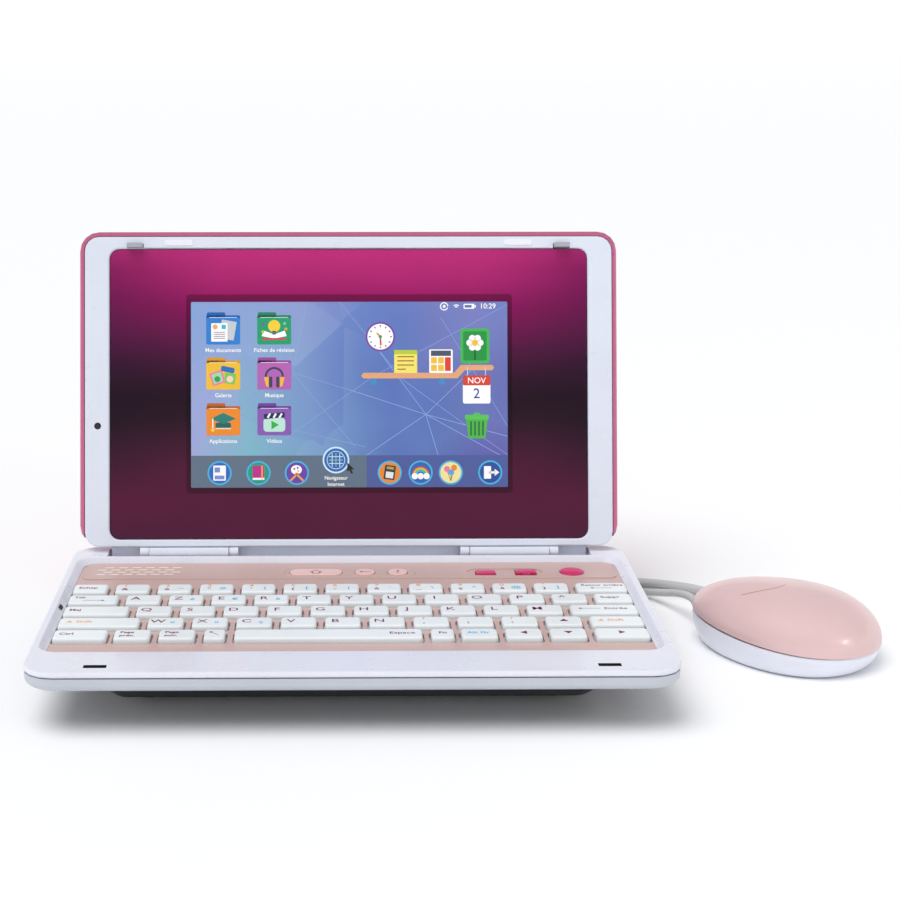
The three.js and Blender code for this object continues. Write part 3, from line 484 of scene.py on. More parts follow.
def add_loft(bm, rings, closed=False):
    """Joins rings of equal length into bm: capped at both ends, or closed on itself."""
    loops = [[bm.verts.new(Vector(p) * MM) for p in points] for points in rings]
    n = len(loops[0])
    pairs = list(zip(loops, loops[1:]))
    if closed:
        pairs.append((loops[-1], loops[0]))
    for a, b in pairs:
        for i in range(n):
            j = (i + 1) % n
            bm.faces.new((a[i], a[j], b[j], b[i]))
    if not closed:
        bm.faces.new(reversed(loops[0]))
        bm.faces.new(loops[-1])


def to_mesh(bm, name, sharp=35):
    mesh = bpy.data.meshes.new(name)
    bm.to_mesh(mesh)
    bm.free()
    mesh.shade_smooth()
    mesh.set_sharp_from_angle(angle=math.radians(sharp))
    return mesh


def add_piece(name, mesh, place, body, slot, material=None, replaces=(), bevel=0.0):
    piece = bpy.data.objects.new(name, mesh)
    bpy.context.scene.collection.objects.link(piece)
    piece.matrix_world = place
    mesh.materials.clear()
    mesh.materials.append(MATERIALS[material or slot])
    if bevel:
        edge = piece.modifiers.new("soft_edges", "BEVEL")
        edge.width = bevel * MM
        edge.segments = 3
        edge.limit_method = "ANGLE"
        edge.angle_limit = math.radians(38)
    piece.modifiers.new("even_shading", "WEIGHTED_NORMAL").keep_sharp = True
    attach(piece, body)
    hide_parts(*replaces)
    return piece


def loft_piece(name, rings, place, body, slot, closed=False, **options):
    bm = bmesh.new()
    add_loft(bm, rings, closed)
    return add_piece(name, to_mesh(bm, name), place, body, slot, **options)


def refined(node, place, body, slot, bevel=0.3, name=None):
    """The CAD node's own shape with soft moulded edges, as a piece that stands for it."""
    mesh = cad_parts[node].data.copy()
    mesh.transform(place.inverted())
    bm = bmesh.new()
    bm.from_mesh(mesh)
    bpy.data.meshes.remove(mesh)
    bmesh.ops.remove_doubles(bm, verts=bm.verts, dist=0.01 * MM)
    bmesh.ops.dissolve_limit(bm, angle_limit=math.radians(1), verts=bm.verts, edges=bm.edges)
    mesh = to_mesh(bm, name or node + "_moulded")
    return add_piece(mesh.name, mesh, place, body, slot, replaces=(node,), bevel=bevel)


def plate(name, outline, holes, low, high, bevel, place, body, slot, **options):
    """A flat plate with holes through it and softly rounded edges, from a filled curve."""
    curve = bpy.data.curves.new(name, "CURVE")
    curve.dimensions = "2D"
    curve.fill_mode = "BOTH"
    curve.extrude = ((high - low) / 2 - bevel) * MM
    curve.bevel_depth = bevel * MM
    curve.bevel_resolution = 2
    curve.offset = -bevel * MM
    for points in (outline, *holes):
        spline = curve.splines.new("POLY")
        spline.points.add(len(points) - 1)
        for point, (x, y) in zip(spline.points, points):
            point.co = (x * MM, y * MM, 0, 1)
        spline.use_cyclic_u = True
    holder = bpy.data.objects.new(name, curve)
    mesh = bpy.data.meshes.new_from_object(holder)
    bpy.data.objects.remove(holder)
    bpy.data.curves.remove(curve)
    mesh.transform(Matrix.Translation((0, 0, (low + high) / 2 * MM)))
    bm = bmesh.new()
    bm.from_mesh(mesh)
    bpy.data.meshes.remove(mesh)
    bmesh.ops.remove_doubles(bm, verts=bm.verts, dist=0.001 * MM)
    return add_piece(name, to_mesh(bm, name), place, body, slot, **options)


# ---- printed and lit shapes -------------------------------------------------------------------
class Artwork:
    """Thin coloured shapes lying on one plane, each layer a little above the last."""

    def __init__(self, height, thickness=0.05, step=0.012):
        self.height, self.thickness, self.step = height, thickness, step
        self.x = self.y = 0.0
        self.bm = bmesh.new()
        self.ink = self.bm.loops.layers.float_color.new("ink")

    def at(self, x, y):
        """Sets the point that the next shapes are placed from."""
        self.x, self.y = x, y

    def polygon(self, points, code, layer=0):
        top = (self.height + layer * self.step) * MM
        low = top - self.thickness * MM
        points = [((self.x + x) * MM, (self.y + y) * MM) for x, y in points]
        upper = [self.bm.verts.new((x, y, top)) for x, y in points]
        lower = [self.bm.verts.new((x, y, low)) for x, y in points]
        faces = [self.bm.faces.new(upper), self.bm.faces.new(lower[::-1])]
        for i in range(len(points)):
            j = (i + 1) % len(points)
            faces.append(self.bm.faces.new((lower[i], lower[j], upper[j], upper[i])))
        self.paint(faces, code)

    def paint(self, faces, code):
        for face in faces:
            for loop in face.loops:
                loop[self.ink] = linear(code)

    def rect(self, x, y, w, h, code, layer=0, r=0.0, turn=0.0):
        """A rectangle of width w and height h about its middle, turned by degrees."""
        points = rounded_rect(-w / 2, w / 2, -h / 2, h / 2, r, 4) if r else [
            (-w / 2, -h / 2), (w / 2, -h / 2), (w / 2, h / 2), (-w / 2, h / 2)]
        c, s = math.cos(math.radians(turn)), math.sin(math.radians(turn))
        self.polygon([(x + px * c - py * s, y + px * s + py * c) for px, py in points], code, layer)

    def disc(self, x, y, r, code, layer=0, flat=1.0):
        self.polygon([(px, y + (py - y) * flat) for px, py in circle(x, y, r)], code, layer)

    def line(self, a, b, width, code, layer=0):
        dx, dy = b[0] - a[0], b[1] - a[1]
        length = math.hypot(dx, dy)
        turn = math.degrees(math.atan2(dy, dx))
        self.rect((a[0] + b[0]) / 2, (a[1] + b[1]) / 2, length, width, code, layer, turn=turn)

    def arc(self, x, y, r, width, start, end, code, layer=0, steps=12):
        angles = [math.radians(start + (end - start) * i / steps) for i in range(steps + 1)]
        outer = [(x + r * math.cos(a), y + r * math.sin(a)) for a in angles]
        inner = [(x + (r - width) * math.cos(a), y + (r - width) * math.sin(a)) for a in reversed(angles)]
        self.polygon(outer + inner, code, layer)

    def text(self, words, x, y, size, code, layer=0, align="CENTER", stretch=1.0, weight=0.03):
        curve = bpy.data.curves.new("words", "FONT")
        curve.body = words
        curve.size = size * MM
        curve.align_x = align
        curve.align_y = "CENTER"
        curve.extrude = self.thickness / 2 * MM
        curve.resolution_u = 3
        curve.offset = weight * MM
        holder = bpy.data.objects.new("words", curve)
        mesh = bpy.data.meshes.new_from_object(holder)
        bpy.data.objects.remove(holder)
        bpy.data.curves.remove(curve)
        z = self.height + layer * self.step - self.thickness / 2
        place = Vector((self.x + x, self.y + y, z)) * MM
        mesh.transform(Matrix.Translation(place) @ Matrix.Diagonal((stretch, 1, 1, 1)))
        known = set(self.bm.faces)
        self.bm.from_mesh(mesh)
        bpy.data.meshes.remove(mesh)
        self.paint([face for face in self.bm.faces if face not in known], code)

    def piece(self, name, place, body, slot, material):
        return add_piece(name, to_mesh(self.bm, name, 20), place, body, slot, material=material)


# ---- the lead ---------------------------------------------------------------------------------
def build_lead():
    curve = bpy.data.curves.new("lead", "CURVE")
    curve.dimensions = "3D"
    curve.bevel_depth = CORD_D / 2 * MM
    curve.bevel_resolution = 4
    curve.resolution_u = 10
    curve.use_fill_caps = True
    spline = curve.splines.new("BEZIER")
    spline.bezier_points.add(len(CORD_PATH) - 1)
    for point, place in zip(spline.bezier_points, CORD_PATH):
        point.co = (Vector(place) + Vector(ORIGIN)) * MM
        point.handle_left_type = point.handle_right_type = "AUTO"
    lead = bpy.data.objects.new("lead", curve)
    bpy.context.scene.collection.objects.link(lead)
    curve.materials.append(MATERIALS["cord"])
    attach(lead, "base")
    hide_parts("mouse_cord")
    return lead


def sleeve_rings(start, end):
    """Rings of a tapered sleeve between two points, with shallow grooves round it."""
    a, b = Vector(start), Vector(end)
    along = (b - a).normalized()
    across = along.cross(Vector((0, 0, 1))).normalized()
    up = across.cross(along)
    rings = []
    steps = 24
    for i in range(steps + 1):
        share = i / steps
        r = SLEEVE["start"] + (SLEEVE["end"] - SLEEVE["start"]) * share
        if 0.15 < share < 0.95 and i % 4 in (1, 2):
            r -= SLEEVE["groove"]
        centre = a.lerp(b, share)
        rings.append([tuple(centre + across * r * math.cos(t) + up * r * math.sin(t))
                      for t in [2 * math.pi * k / 24 for k in range(24)]])
    return rings


def build_lead_ends():
    """The ribbed sleeves at both ends of the lead, and its plug."""
    heading = math.radians(SLEEVE["heading"])
    forward = Vector((-math.sin(heading), math.cos(heading), 0))
    tip = Vector(CORD_PATH[0]) - forward * GAP
    loft_piece("nose_sleeve", sleeve_rings(tip - forward * SLEEVE["nose"], tip), CASE, "base", "cord",
               replaces=("mouse_strain_relief",))
    back = Vector((SOCKET_X, PLUG_BACK_T, SOCKET_Z))
    end = Vector(CORD_PATH[-1]) - Vector((0, GAP, 0))
    tail = loft_piece("plug_sleeve", sleeve_rings(back, end), CASE, "base", "cord",
                      replaces=("plug_strain_relief",))
    plug = refined("usb_plug", CASE, "base", "hook", 0.5, "plug")
    return tail, plug


# ---- base -------------------------------------------------------------------------------------
def row_rect(x0, x1, row):
    back = ROW_BACK - row * ROW_PITCH
    return (x0, x1, back - KEY["d"], back, KEY["r"])


def row_spans(start, count):
    return [(start + i * KEY["pitch"], start + i * KEY["pitch"] + KEY["w"]) for i in range(count)]


def key_bodies():
    """Every key body with its row and the spans of its caps."""
    found = [(body, row, row_spans(start, len(legends))) for row, (body, start, legends) in enumerate(ROWS)]
    found += [(body, row, [(x0, x1)]) for body, row, x0, x1, _, _ in SINGLES]
    found += [(body, 4, [span for span, _, _ in caps]) for body, caps in GROUPS]
    return found


def button_hole(body, x, w, d, r):
    """The deck's opening round a button: square-cornered for the minus and the plus."""
    half = {"button_volume_down": 2.7, "button_volume_up": w / 2}.get(body, d / 2) + GAP
    corner = 0.7 if "volume" in body else r + GAP
    return rounded_rect(x - w / 2 - GAP, x + w / 2 + GAP, STRIP["t"] - half, STRIP["t"] + half, corner)


def build_deck():
    holes = []
    for _, row, spans in key_bodies():
        for x0, x1 in spans:
            left, right, front, back, r = row_rect(x0, x1, row)
            m = HOLE_MARGIN
            holes.append(rounded_rect(left - m, right + m, front - m, back + m, r + 0.3))
    slots = [button_hole(body, x, w, d, r) for body, x, w, d, r, _ in BUTTONS]
    side = OPENING["side"] - 0.2
    outline = rounded_rect(-side, side, OPENING["front"] - 0.8, OPENING["rear"] - 0.2, OPENING["r"])
    plate("deck", outline, holes + slots, DECK_Z - DECK_T, DECK_Z, 0.25, CASE, "base", "deck_pink",
          replaces=("keyboard_deck",))
    # Raised panel over the rear of the deck, with one opening round both volume buttons.
    recess = rounded_rect(54.5, 89.8, STRIP["t"] - 5.0, STRIP["t"] + 5.2, 5.0)
    windows = [hole for hole, button in zip(slots, BUTTONS) if "volume" not in button[0]]
    edge = OPENING_FOOT_SIDE - 1.6
    panel = rounded_rect(-edge, edge, STRIP["front"], STRIP["rear"], 4.0)
    slits = []
    for row in range(GRILLE["rows"]):
        for column in range(GRILLE["columns"]):
            shift = 0.5 if row % 2 else 0.0
            x = GRILLE["x"] - GRILLE["w"] / 2 + (column + 0.25 + shift) * GRILLE["w"] / GRILLE["columns"]
            t = GRILLE["t"] - GRILLE["d"] / 2 + (row + 0.5) * GRILLE["d"] / GRILLE["rows"]
            slits.append(rounded_rect(x - 2.3, x + 2.3, t - 0.75, t + 0.75, 0.6, 3))
    # Painted highlight: a pale cloth just under the grille slits stands for the bright edges of the slits.
    highlight_cloth = (GRILLE["x"] - 21, GRILLE["x"] + 21, GRILLE["t"] - 8, GRILLE["t"] + 8, 1.0)
    layers = ((0, DECK_Z + 0.02), (0, DECK_Z + 0.3))
    loft_piece("speaker_highlight_cloth", stack(highlight_cloth, layers, 2), CASE, "base", "case_white", material="highlight_cloth")
    plate("strip_panel", panel, windows + [recess] + slits, DECK_Z - 0.1, DECK_Z + STRIP["rise"], 0.12, CASE,
          "base", "deck_pink")


def cap_steps(low):
    """A key cap's wall and rounded shoulder, as (inset, height) steps."""
    shoulder = ((0.03, 1.3), (0.1, 0.8), (0.25, 0.4), (0.5, 0.14), (0.85, 0.02), (1.2, 0))
    return ((0, low), *[(inset, KEY["top"] - drop) for inset, drop in shoulder])


def build_keys():
    for body, row, spans in key_bodies():
        bm = bmesh.new()
        whole = row_rect(spans[0][0], spans[-1][1], row)
        for x0, x1 in spans:
            add_loft(bm, stack(row_rect(x0, x1, row), cap_steps(FLANGE["top"] - 0.2)))
        low = FLANGE["top"] - FLANGE["t"]
        add_loft(bm, stack(whole, ((-FLANGE["margin"], low), (-FLANGE["margin"], FLANGE["top"]))))
        middle = ((whole[0] + whole[1]) / 2, (whole[2] + whole[3]) / 2)
        h = PLUNGER["half"]
        add_loft(bm, stack((middle[0] - h, middle[0] + h, middle[1] - h, middle[1] + h, 0.5),
                           ((0, PLUNGER["z"]), (0, low + 0.1)), 2))
        add_piece(body + "_caps", to_mesh(bm, body + "_caps"), CASE, body, "key_white", replaces=(body,))


def triangle(art, x, y, size, turn, code):
    c, s = math.cos(math.radians(turn)), math.sin(math.radians(turn))
    corners = ((0, size * 0.6), (-size * 0.75, -size * 0.5), (size * 0.75, -size * 0.5))
    art.polygon([(x + px * c - py * s, y + px * s + py * c) for px, py in corners], code)


def arrow(art, x, y, length, code, turn=0.0):
    """A thin arrow pointing right, then turned."""
    c, s = math.cos(math.radians(turn)), math.sin(math.radians(turn))
    end = (x + c * length / 2, y + s * length / 2)
    art.line((x - c * length / 2, y - s * length / 2), end, 0.35, code)
    triangle(art, end[0], end[1], 1.3, turn - 90, code)


def small_legend(art, lines, rect, code):
    """The words or symbols of a function key, set from one of its edges or in its middle."""
    x0, x1, t0, t1, _ = rect
    middle_t = (t0 + t1) / 2
    symbols = {"up": 0, "left": 90, "down": 180, "right": -90}
    for i, words in enumerate(lines):
        t = middle_t + (1.9 - 3.8 * i if len(lines) > 1 else 0.3)
        if words in symbols:
            triangle(art, (x0 + x1) / 2, t, 2.6, symbols[words], code)
        elif words == "home":
            arrow(art, (x0 + x1) / 2, t, 5, code, 135)
        elif words in ("<--", "-->"):
            arrow(art, (x0 + x1) / 2, t, 9, code, 180 if words[0] == "<" else 0)
        elif words.startswith("<--"):
            arrow(art, x0 + 8.5, t, 9, code, 180)
            art.text(words[4:], x0 + 14.5, t, 3.3, code, align="LEFT", **LEGEND)
        elif words.startswith("^"):
            triangle(art, x0 + 4.6, t, 1.9, 0, code)
            art.text(words[2:], x0 + 7.2, t, 3.5, code, align="LEFT", **LEGEND)
        elif words == "Espace":
            art.text(words, x1 - 3.0, t, 3.5, code, align="RIGHT", **LEGEND)
        else:
            x, align = (x0 + 2.4, "LEFT") if x1 - x0 > 12 else ((x0 + x1) / 2, "CENTER")
            size = 3.3 if len(lines) == 1 else 2.9
            art.text(words, x, t, size, code, align=align, stretch=1.1, weight=0.08)


def build_legends():
    height = KEY["top"] + 0.015
    for row, (body, start, legends) in enumerate(ROWS):
        art = Artwork(height)
        for (x0, x1), (main, top, side) in zip(row_spans(start, len(legends)), legends):
            _, _, t0, t1, _ = row_rect(x0, x1, row)
            x, t = x0 + 4.3, (t0 + t1) / 2
            if top:
                art.text(main, x, t - 1.7, 4.3, INKS["magenta"], **LEGEND)
                art.text(top, x, t + 2.9, 3.7, INKS["orange"], **LEGEND)
            else:
                art.text(main, x, t + 0.4, 5.4, INKS["magenta"], **LEGEND)
            if side:
                art.text(side, x + 6.2, t - 0.6, 4.2, INKS["cyan"], stretch=1.1, weight=0.05)
        art.piece(body + "_legends", CASE, body, "key_white", "legend_ink")
    for body, row, x0, x1, lines, colour in SINGLES:
        art = Artwork(height)
        small_legend(art, lines, row_rect(x0, x1, row), INKS[colour])
        art.piece(body + "_legend", CASE, body, "key_white", "legend_ink")
    for body, caps in GROUPS:
        art = Artwork(height)
        for (x0, x1), lines, colour in caps:
            small_legend(art, lines, row_rect(x0, x1, 4), INKS[colour])
        art.piece(body + "_legends", CASE, body, "key_white", "legend_ink")


def button_outline(body, x, w, d, r):
    """Outline of a button's top: a minus, a plus, or a rounded pill."""
    t = STRIP["t"]
    if body == "button_volume_down":
        return rounded_rect(x - w / 2, x + w / 2, t - 2.6, t + 2.2, 0.5, 3)
    if body == "button_volume_up":
        arm, post = 2.3, 1.6
        half = d / 2
        corners = ((-w / 2, -arm), (-post, -arm), (-post, -half), (post, -half), (post, -arm), (w / 2, -arm),
                   (w / 2, arm), (post, arm), (post, half), (-post, half), (-post, arm), (-w / 2, arm))
        return [(x + dx, t + dy) for dx, dy in corners]
    return rounded_rect(x - w / 2, x + w / 2, t - d / 2, t + d / 2, r, 10)


def build_buttons():
    top = DECK_Z + 0.9
    for body, x, w, d, r, slot in BUTTONS:
        outline = button_outline(body, x, w, d, r)
        low = FLANGE["top"] - 0.2
        plate(body + "_cap", outline, (), low, top, 0.3, CASE, body, slot, replaces=(body,))
        rect = (x - w / 2, x + w / 2, STRIP["t"] - d / 2, STRIP["t"] + d / 2, r)
        steps = ((1.2, PLUNGER["z"]), (1.2, low - 0.9), (-0.9, low - 0.9), (-0.9, low + 0.2))
        loft_piece(body + "_stem", stack(rect, steps, 10), CASE, body, slot, material="deck_pink")
    art = Artwork(top + 0.015)
    house = ((-2.6, -0.2), (0, 2.2), (2.6, -0.2), (1.7, -0.2), (1.7, -2.0), (-1.7, -2.0), (-1.7, -0.2))
    x, t = BUTTONS[0][1], STRIP["t"]
    for a, b in zip(house, house[1:] + house[:1]):
        art.line((x + a[0], t + a[1]), (x + b[0], t + b[1]), 0.5, INKS["magenta"])
    art.piece("button_home_mark", CASE, "button_home", "button_pill", "legend_ink")
    art = Artwork(top + 0.015)
    arrow(art, BUTTONS[1][1] + 0.4, t, 4.6, INKS["magenta"], 180)
    art.piece("button_back_mark", CASE, "button_back", "button_pill", "legend_ink")
    art = Artwork(top + 0.015)
    art.text("?", BUTTONS[2][1], t, 5.2, INKS["magenta"], stretch=1.2)
    art.piece("button_help_mark", CASE, "button_help", "button_pill", "legend_ink")
    z = DECK_Z + STRIP["rise"]
    around = (PILLS["x0"], PILLS["x1"], t - PILLS["half"], t + PILLS["half"], PILLS["r"])
    bead = ((0, -0.05), (0.05, 0.22), (0.3, 0.34), (0.6, 0.22), (0.7, -0.05))
    rings = [ring(around, inset, z + rise, 10) for inset, rise in bead]
    loft_piece("pill_surround", rings, CASE, "base", "deck_pink", closed=True)


def build_case():
    refined("base_upper_case", CASE, "base", "case_white", 0.35)
    refined("base_lower_case", CASE, "base", "case_grey", 0.25)
    refined("battery_cover", CASE, "base", "case_grey", 0.3)
    # Painted shade: a thin dark lining down each latch slot, where the slot's shadow falls.
    t, half_w, half_d = LATCH["t"], LATCH["w"] / 2, LATCH["d"] / 2
    painted_shade_steps = ((0, LATCH["floor"]), (0, TOP_Z - 0.1), (0.12, TOP_Z - 0.1), (0.12, LATCH["floor"] + 0.2))
    for side, x in (("left", -LATCH["x"]), ("right", LATCH["x"])):
        well = (x - half_w, x + half_w, t - half_d, t + half_d, 0.3)
        loft_piece("latch_well_" + side, stack(well, painted_shade_steps, 2), CASE, "base", "dark")
    # Painted shade: a dark oval disc on the sloped wall stands for the shade inside the port's opening.
    port = WALL_PORT
    place = CASE @ Matrix.Translation(Vector((port["x"], port["t"], port["z"])) * MM)
    place = place @ Matrix.Rotation(math.radians(port["turn"]), 4, "Y")
    oval = (-1.0, 1.0, -2.6, 2.6, 0.95)
    loft_piece("wall_port", stack(oval, ((0, -0.3), (0, 0.06))), place, "base", "dark")
    for corner in ("front_left", "front_right", "rear_left", "rear_right"):
        refined("foot_" + corner, CASE, "base", "foot", 0.5)
    for node, slot in (("key_membrane", "membrane"), ("main_board", "board"), ("battery_pack", "battery"),
                       ("speaker", "dark"), ("usb_socket", "steel"), ("hinge_pin_left", "steel"),
                       ("hinge_pin_right", "steel")):
        paint_node(node, slot)


def paint_node(node, material):
    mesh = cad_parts[node].data
    mesh.materials.clear()
    mesh.materials.append(MATERIALS[material])


# ---- lid --------------------------------------------------------------------------------------
def build_lid():
    refined("lid_rear_shell", LID, "lid", "lid_pink", 0.35)
    refined("lid_bezel", LID, "lid", "bezel", 0.3)
    for side in ("left", "right"):
        refined("hinge_knuckle_" + side, LID, "lid", "bezel", 0.3)
        refined("latch_hook_" + side, LID, "lid", "hook", 0.2)
        refined("bumper_" + side, LID, "lid", "bumper", 0.12)
    refined("camera_lens", LID, "lid", "dark", 0.2)
    paint_node("lcd_panel", "lcd")
    apron = (-113.8, 113.8, -2.3, 5.0, 0.4)
    loft_piece("hinge_apron", stack(apron, ((0, -5.28), (0, -5.0), (0.05, -4.95)), 2), LID, "lid", "bezel")


def build_window():
    w, d = WINDOW, DISPLAY
    front, back = w["front"], w["front"] - w["t"]
    outer = (-w["side"] + GAP, w["side"] - GAP, w["bottom"] + GAP, w["top"] - GAP, w["r"] - GAP)
    hole = (d["x0"], d["x1"], d["y0"], d["y1"], d["r"])
    mask = (d["x0"] - 2.2, d["x1"] + 2.2, d["y0"] - 2.7, d["y1"] + 3.5, 1.6)
    rings = [ring(outer, 0, back), ring(outer, 0, front - 0.25), ring(outer, 0.25, front),
             ring(mask, 0, front), ring(mask, 0, back)]
    loft_piece("window_pane", rings, LID, "lid", "window", closed=True, replaces=("screen_window",))
    rings = [ring(mask, 0.02, back), ring(mask, 0.02, front - 0.02),
             ring(hole, 0, front - 0.02), ring(hole, 0, back)]
    loft_piece("display_mask", rings, LID, "lid", "window", material="mask", closed=True)
    face = ((0.02, back), (0.02, front - 0.12))
    loft_piece("display_face", stack(hole, face, 3), LID, "lid", "lcd", material="wallpaper")


def folder(art, code, dark):
    """A desktop folder with its tab and a sheet showing."""
    art.rect(-3.4, 6.2, 8.8, 4.0, dark, 1, 0.7)
    art.rect(0, 5.0, 16.2, 3.6, dark, 1, 0.7)
    art.rect(0, 5.0, 13.4, 1.6, INKS["white"], 2, 0.3)
    art.rect(0, -0.8, 16.2, 12.8, code, 3, 0.8)


def documents_icon(art):
    folder(art, "#2C7FD0", "#1A5FB0")
    art.rect(2.2, -0.3, 7.2, 9.0, "#C9CDD2", 4, 0.3, -10)
    art.rect(-1.8, -1.4, 7.8, 8.8, INKS["white"], 5, 0.3)
    for i in range(4):
        art.rect(-1.8, -1.4 - i * 0.95, 5.4, 0.4, "#A98CA0", 6)
    art.disc(-3.8, 1.2, 1.2, "#E9B36B", 6)
    art.rect(0.3, 1.2, 2.0, 2.0, "#3AB7D6", 6)


def worksheets_icon(art):
    folder(art, "#1E9E6C", "#14805A")
    art.disc(0, 1.6, 2.9, "#F7D23C", 5)
    art.rect(0, -1.6, 1.8, 1.8, "#5C6B7A", 5, 0.3)
    book = ((0, -4.4), (6, -3.2), (5, -0.6), (0, -2.4), (-5, -0.6), (-6, -3.2))
    art.polygon(book, INKS["white"], 4)
    art.rect(0, -4.6, 11.5, 0.9, "#D93B52", 5)
    dots = ((-5.2, 2.4, "#7A4FB8"), (5.0, 2.8, "#67D5C4"), (-5.4, -1.2, "#B9D23C"), (5.6, 0.2, "#F2A43C"))
    for x, y, code in dots:
        art.disc(x, y, 0.7, code, 5)


def gallery_icon(art):
    folder(art, "#F4C02E", "#D79A1E")
    art.rect(-2.8, -1.6, 6.4, 6.4, "#F07FA8", 5, 0.6, 18)
    art.rect(-2.8, -1.6, 4.6, 4.6, "#9BE0A4", 6, 0.3, 18)
    art.disc(-2.8, -2.2, 1.4, "#2E9E58", 7)
    art.rect(3.2, -1.9, 5.4, 5.2, "#7CC95A", 4, 0.5, -8)
    art.disc(3.2, -2.2, 1.6, "#F6D7C2", 5)
    art.rect(2.2, 2.4, 6.6, 2.6, "#1F6FBF", 5, 0.9, -12)


def music_icon(art):
    folder(art, "#B562B4", "#97489A")
    art.arc(0, -1.0, 4.6, 1.0, 0, 180, "#2E3A5C", 5)
    cup = ((2.7, -6.0), (2.7, -1.2), (5.0, -1.4), (3.8, -5.6))
    for side in (-1, 1):
        art.rect(side * 1.7, -3.6, 1.6, 5.2, "#39404F", 5, 0.6)
        art.polygon([(side * x, y) for x, y in cup], "#F7B82E", 5)


def applications_icon(art):
    folder(art, "#F08A22", "#B8621A")
    art.polygon(((-6, 0.8), (0, -1.8), (6, 0.8), (0, 3.6)), "#1F7E74", 5)
    art.rect(0, -2.6, 7.4, 3.0, "#175F5A", 4, 0.8)
    art.rect(0, -3.9, 7.4, 0.6, "#E8E6C0", 6)
    art.line((-5, 1), (-5, -4.2), 0.5, INKS["white"], 6)
    art.disc(-5, -4.6, 0.9, "#F7D23C", 6)


def videos_icon(art):
    folder(art, "#8A58B4", "#6C3F9C")
    art.rect(0, -2.2, 10.4, 6.6, "#BFE8D8", 4, 1.6)
    art.rect(0, 2.2, 10.0, 2.4, "#15264F", 5, 0.4, 6)
    for i in range(3):
        art.rect(-2.6 + i * 2.8, 2.2, 0.9, 2.4, INKS["white"], 6, 0, -30)
    art.polygon(((-1.4, -4.4), (2.2, -2.2), (-1.4, -0.2)), "#35B04A", 5)


def folder_icons(art):
    """Six labelled folders in two columns."""
    rows = (
        (106.4, (documents_icon, "Mes documents"), (worksheets_icon, "Fiches de révision")),
        (84.8, (gallery_icon, "Galerie"), (music_icon, "Musique")),
        (62.9, (applications_icon, "Applications"), (videos_icon, "Vidéos")),
    )
    for y, *icons in rows:
        for x, (draw, label) in zip((-60.1, -35.7), icons):
            art.at(x, y)
            draw(art)
            art.text(label, 0, -10.0, 2.7, INKS["white"], 3)
    art.at(0, 0)


def clock_icon(art):
    art.disc(0, 0, 7.0, "#7B3F9E", 2)
    art.disc(0, 0, 6.2, INKS["white"], 3)
    for hour in range(12):
        a = math.radians(30 * hour)
        art.rect(5.1 * math.cos(a), 5.1 * math.sin(a), 0.9, 0.5, "#2E4C7E", 4, turn=30 * hour)
    art.line((0, 0), (-1.7, 1.8), 0.8, "#F08A22", 5)
    art.line((0, 0), (0.2, -4.2), 0.8, "#E03A3A", 5)
    art.disc(0, 0, 0.8, "#2E9E58", 6)


def note_icon(art):
    art.rect(0, 0, 11.0, 11.0, "#F6E96B", 3)
    art.rect(0, 4.5, 11.0, 2.0, "#B9CF3A", 4)
    for i in range(3):
        art.rect(0, 2.3 - i * 2.0, 8.0, 0.55, "#B0603A", 4)
    art.rect(-2.0, -3.7, 4.0, 0.55, "#B0603A", 4)


def calculator_icon(art):
    art.rect(0, 0, 11.3, 11.3, INKS["white"], 3, 0.6)
    art.rect(0, 3.8, 9.6, 2.6, "#4A5568", 4)
    for i in range(2):
        for j in range(2):
            art.rect(-3.4 + i * 3.4, 0.4 - j * 3.6, 2.8, 3.0, "#F2C33C", 4, 0.3)
    art.rect(3.3, -1.4, 2.8, 6.6, "#E0402F", 4, 0.3)


def flower_picture(art):
    art.rect(0, 0, 13.8, 16.6, "#43B84C", 3, 1.4)
    art.rect(0, 0, 11.2, 14.0, "#1C9440", 4, 0.8)
    art.rect(0, -3.7, 0.8, 6.0, "#0F5E2C", 5)
    for i in range(6):
        a = math.radians(60 * i)
        art.disc(2.5 * math.cos(a), 1.5 + 2.5 * math.sin(a), 1.6, INKS["white"], 6)
    art.disc(0, 1.5, 1.5, "#F7C22E", 7)


def calendar_icon(art):
    """A tear-off calendar that hangs from the shelf by two strings."""
    art.rect(0, 0, 13.2, 13.4, INKS["white"], 3, 0.9)
    art.rect(0, 4.4, 13.2, 4.8, "#D8402F", 4, 0.6)
    art.text("NOV", 0, 4.2, 4.0, INKS["white"], 5)
    art.text("2", 0, -2.1, 6.8, "#2547A0", 5)
    for x in (-4.35, 4.25):
        art.rect(x, 8.6, 0.4, 4.4, "#C9D4E8", 4)


def bin_icon(art):
    art.polygon(((-4.0, -10.2), (4.0, -10.2), (5.2, -0.8), (-5.2, -0.8)), "#4DB84A", 3)
    art.rect(0, 0, 11.4, 2.2, "#57C652", 4, 0.6)
    art.rect(0, 1.6, 3.2, 0.8, "#57C652", 4, 0.3)
    for i in range(4):
        art.rect(-2.8 + i * 1.9, -5.4, 0.9, 7.0, "#1F7A2E", 5, 0.3)


def shelf_icons(art):
    shelf = ((6.9, 82.8), (52.0, 82.8), (55.4, 86.6), (68.6, 86.6), (69.6, 87.9),
             (68.6, 89.2), (53.6, 89.2), (50.4, 85.5), (6.9, 85.5), (5.9, 84.1))
    art.polygon(shelf, "#E6A878", 2)
    for x in (11.9, 44.6):
        art.disc(x, 81.2, 1.5, "#3E8FC4", 1)
    icons = ((15.1, 102.8, clock_icon), (27.2, 90.9, note_icon), (44.1, 91.0, calculator_icon),
             (60.4, 98.3, flower_picture), (61.15, 77.4, calendar_icon), (61.2, 64.2, bin_icon))
    for x, y, draw in icons:
        art.at(x, y)
        draw(art)
    art.at(0, 0)


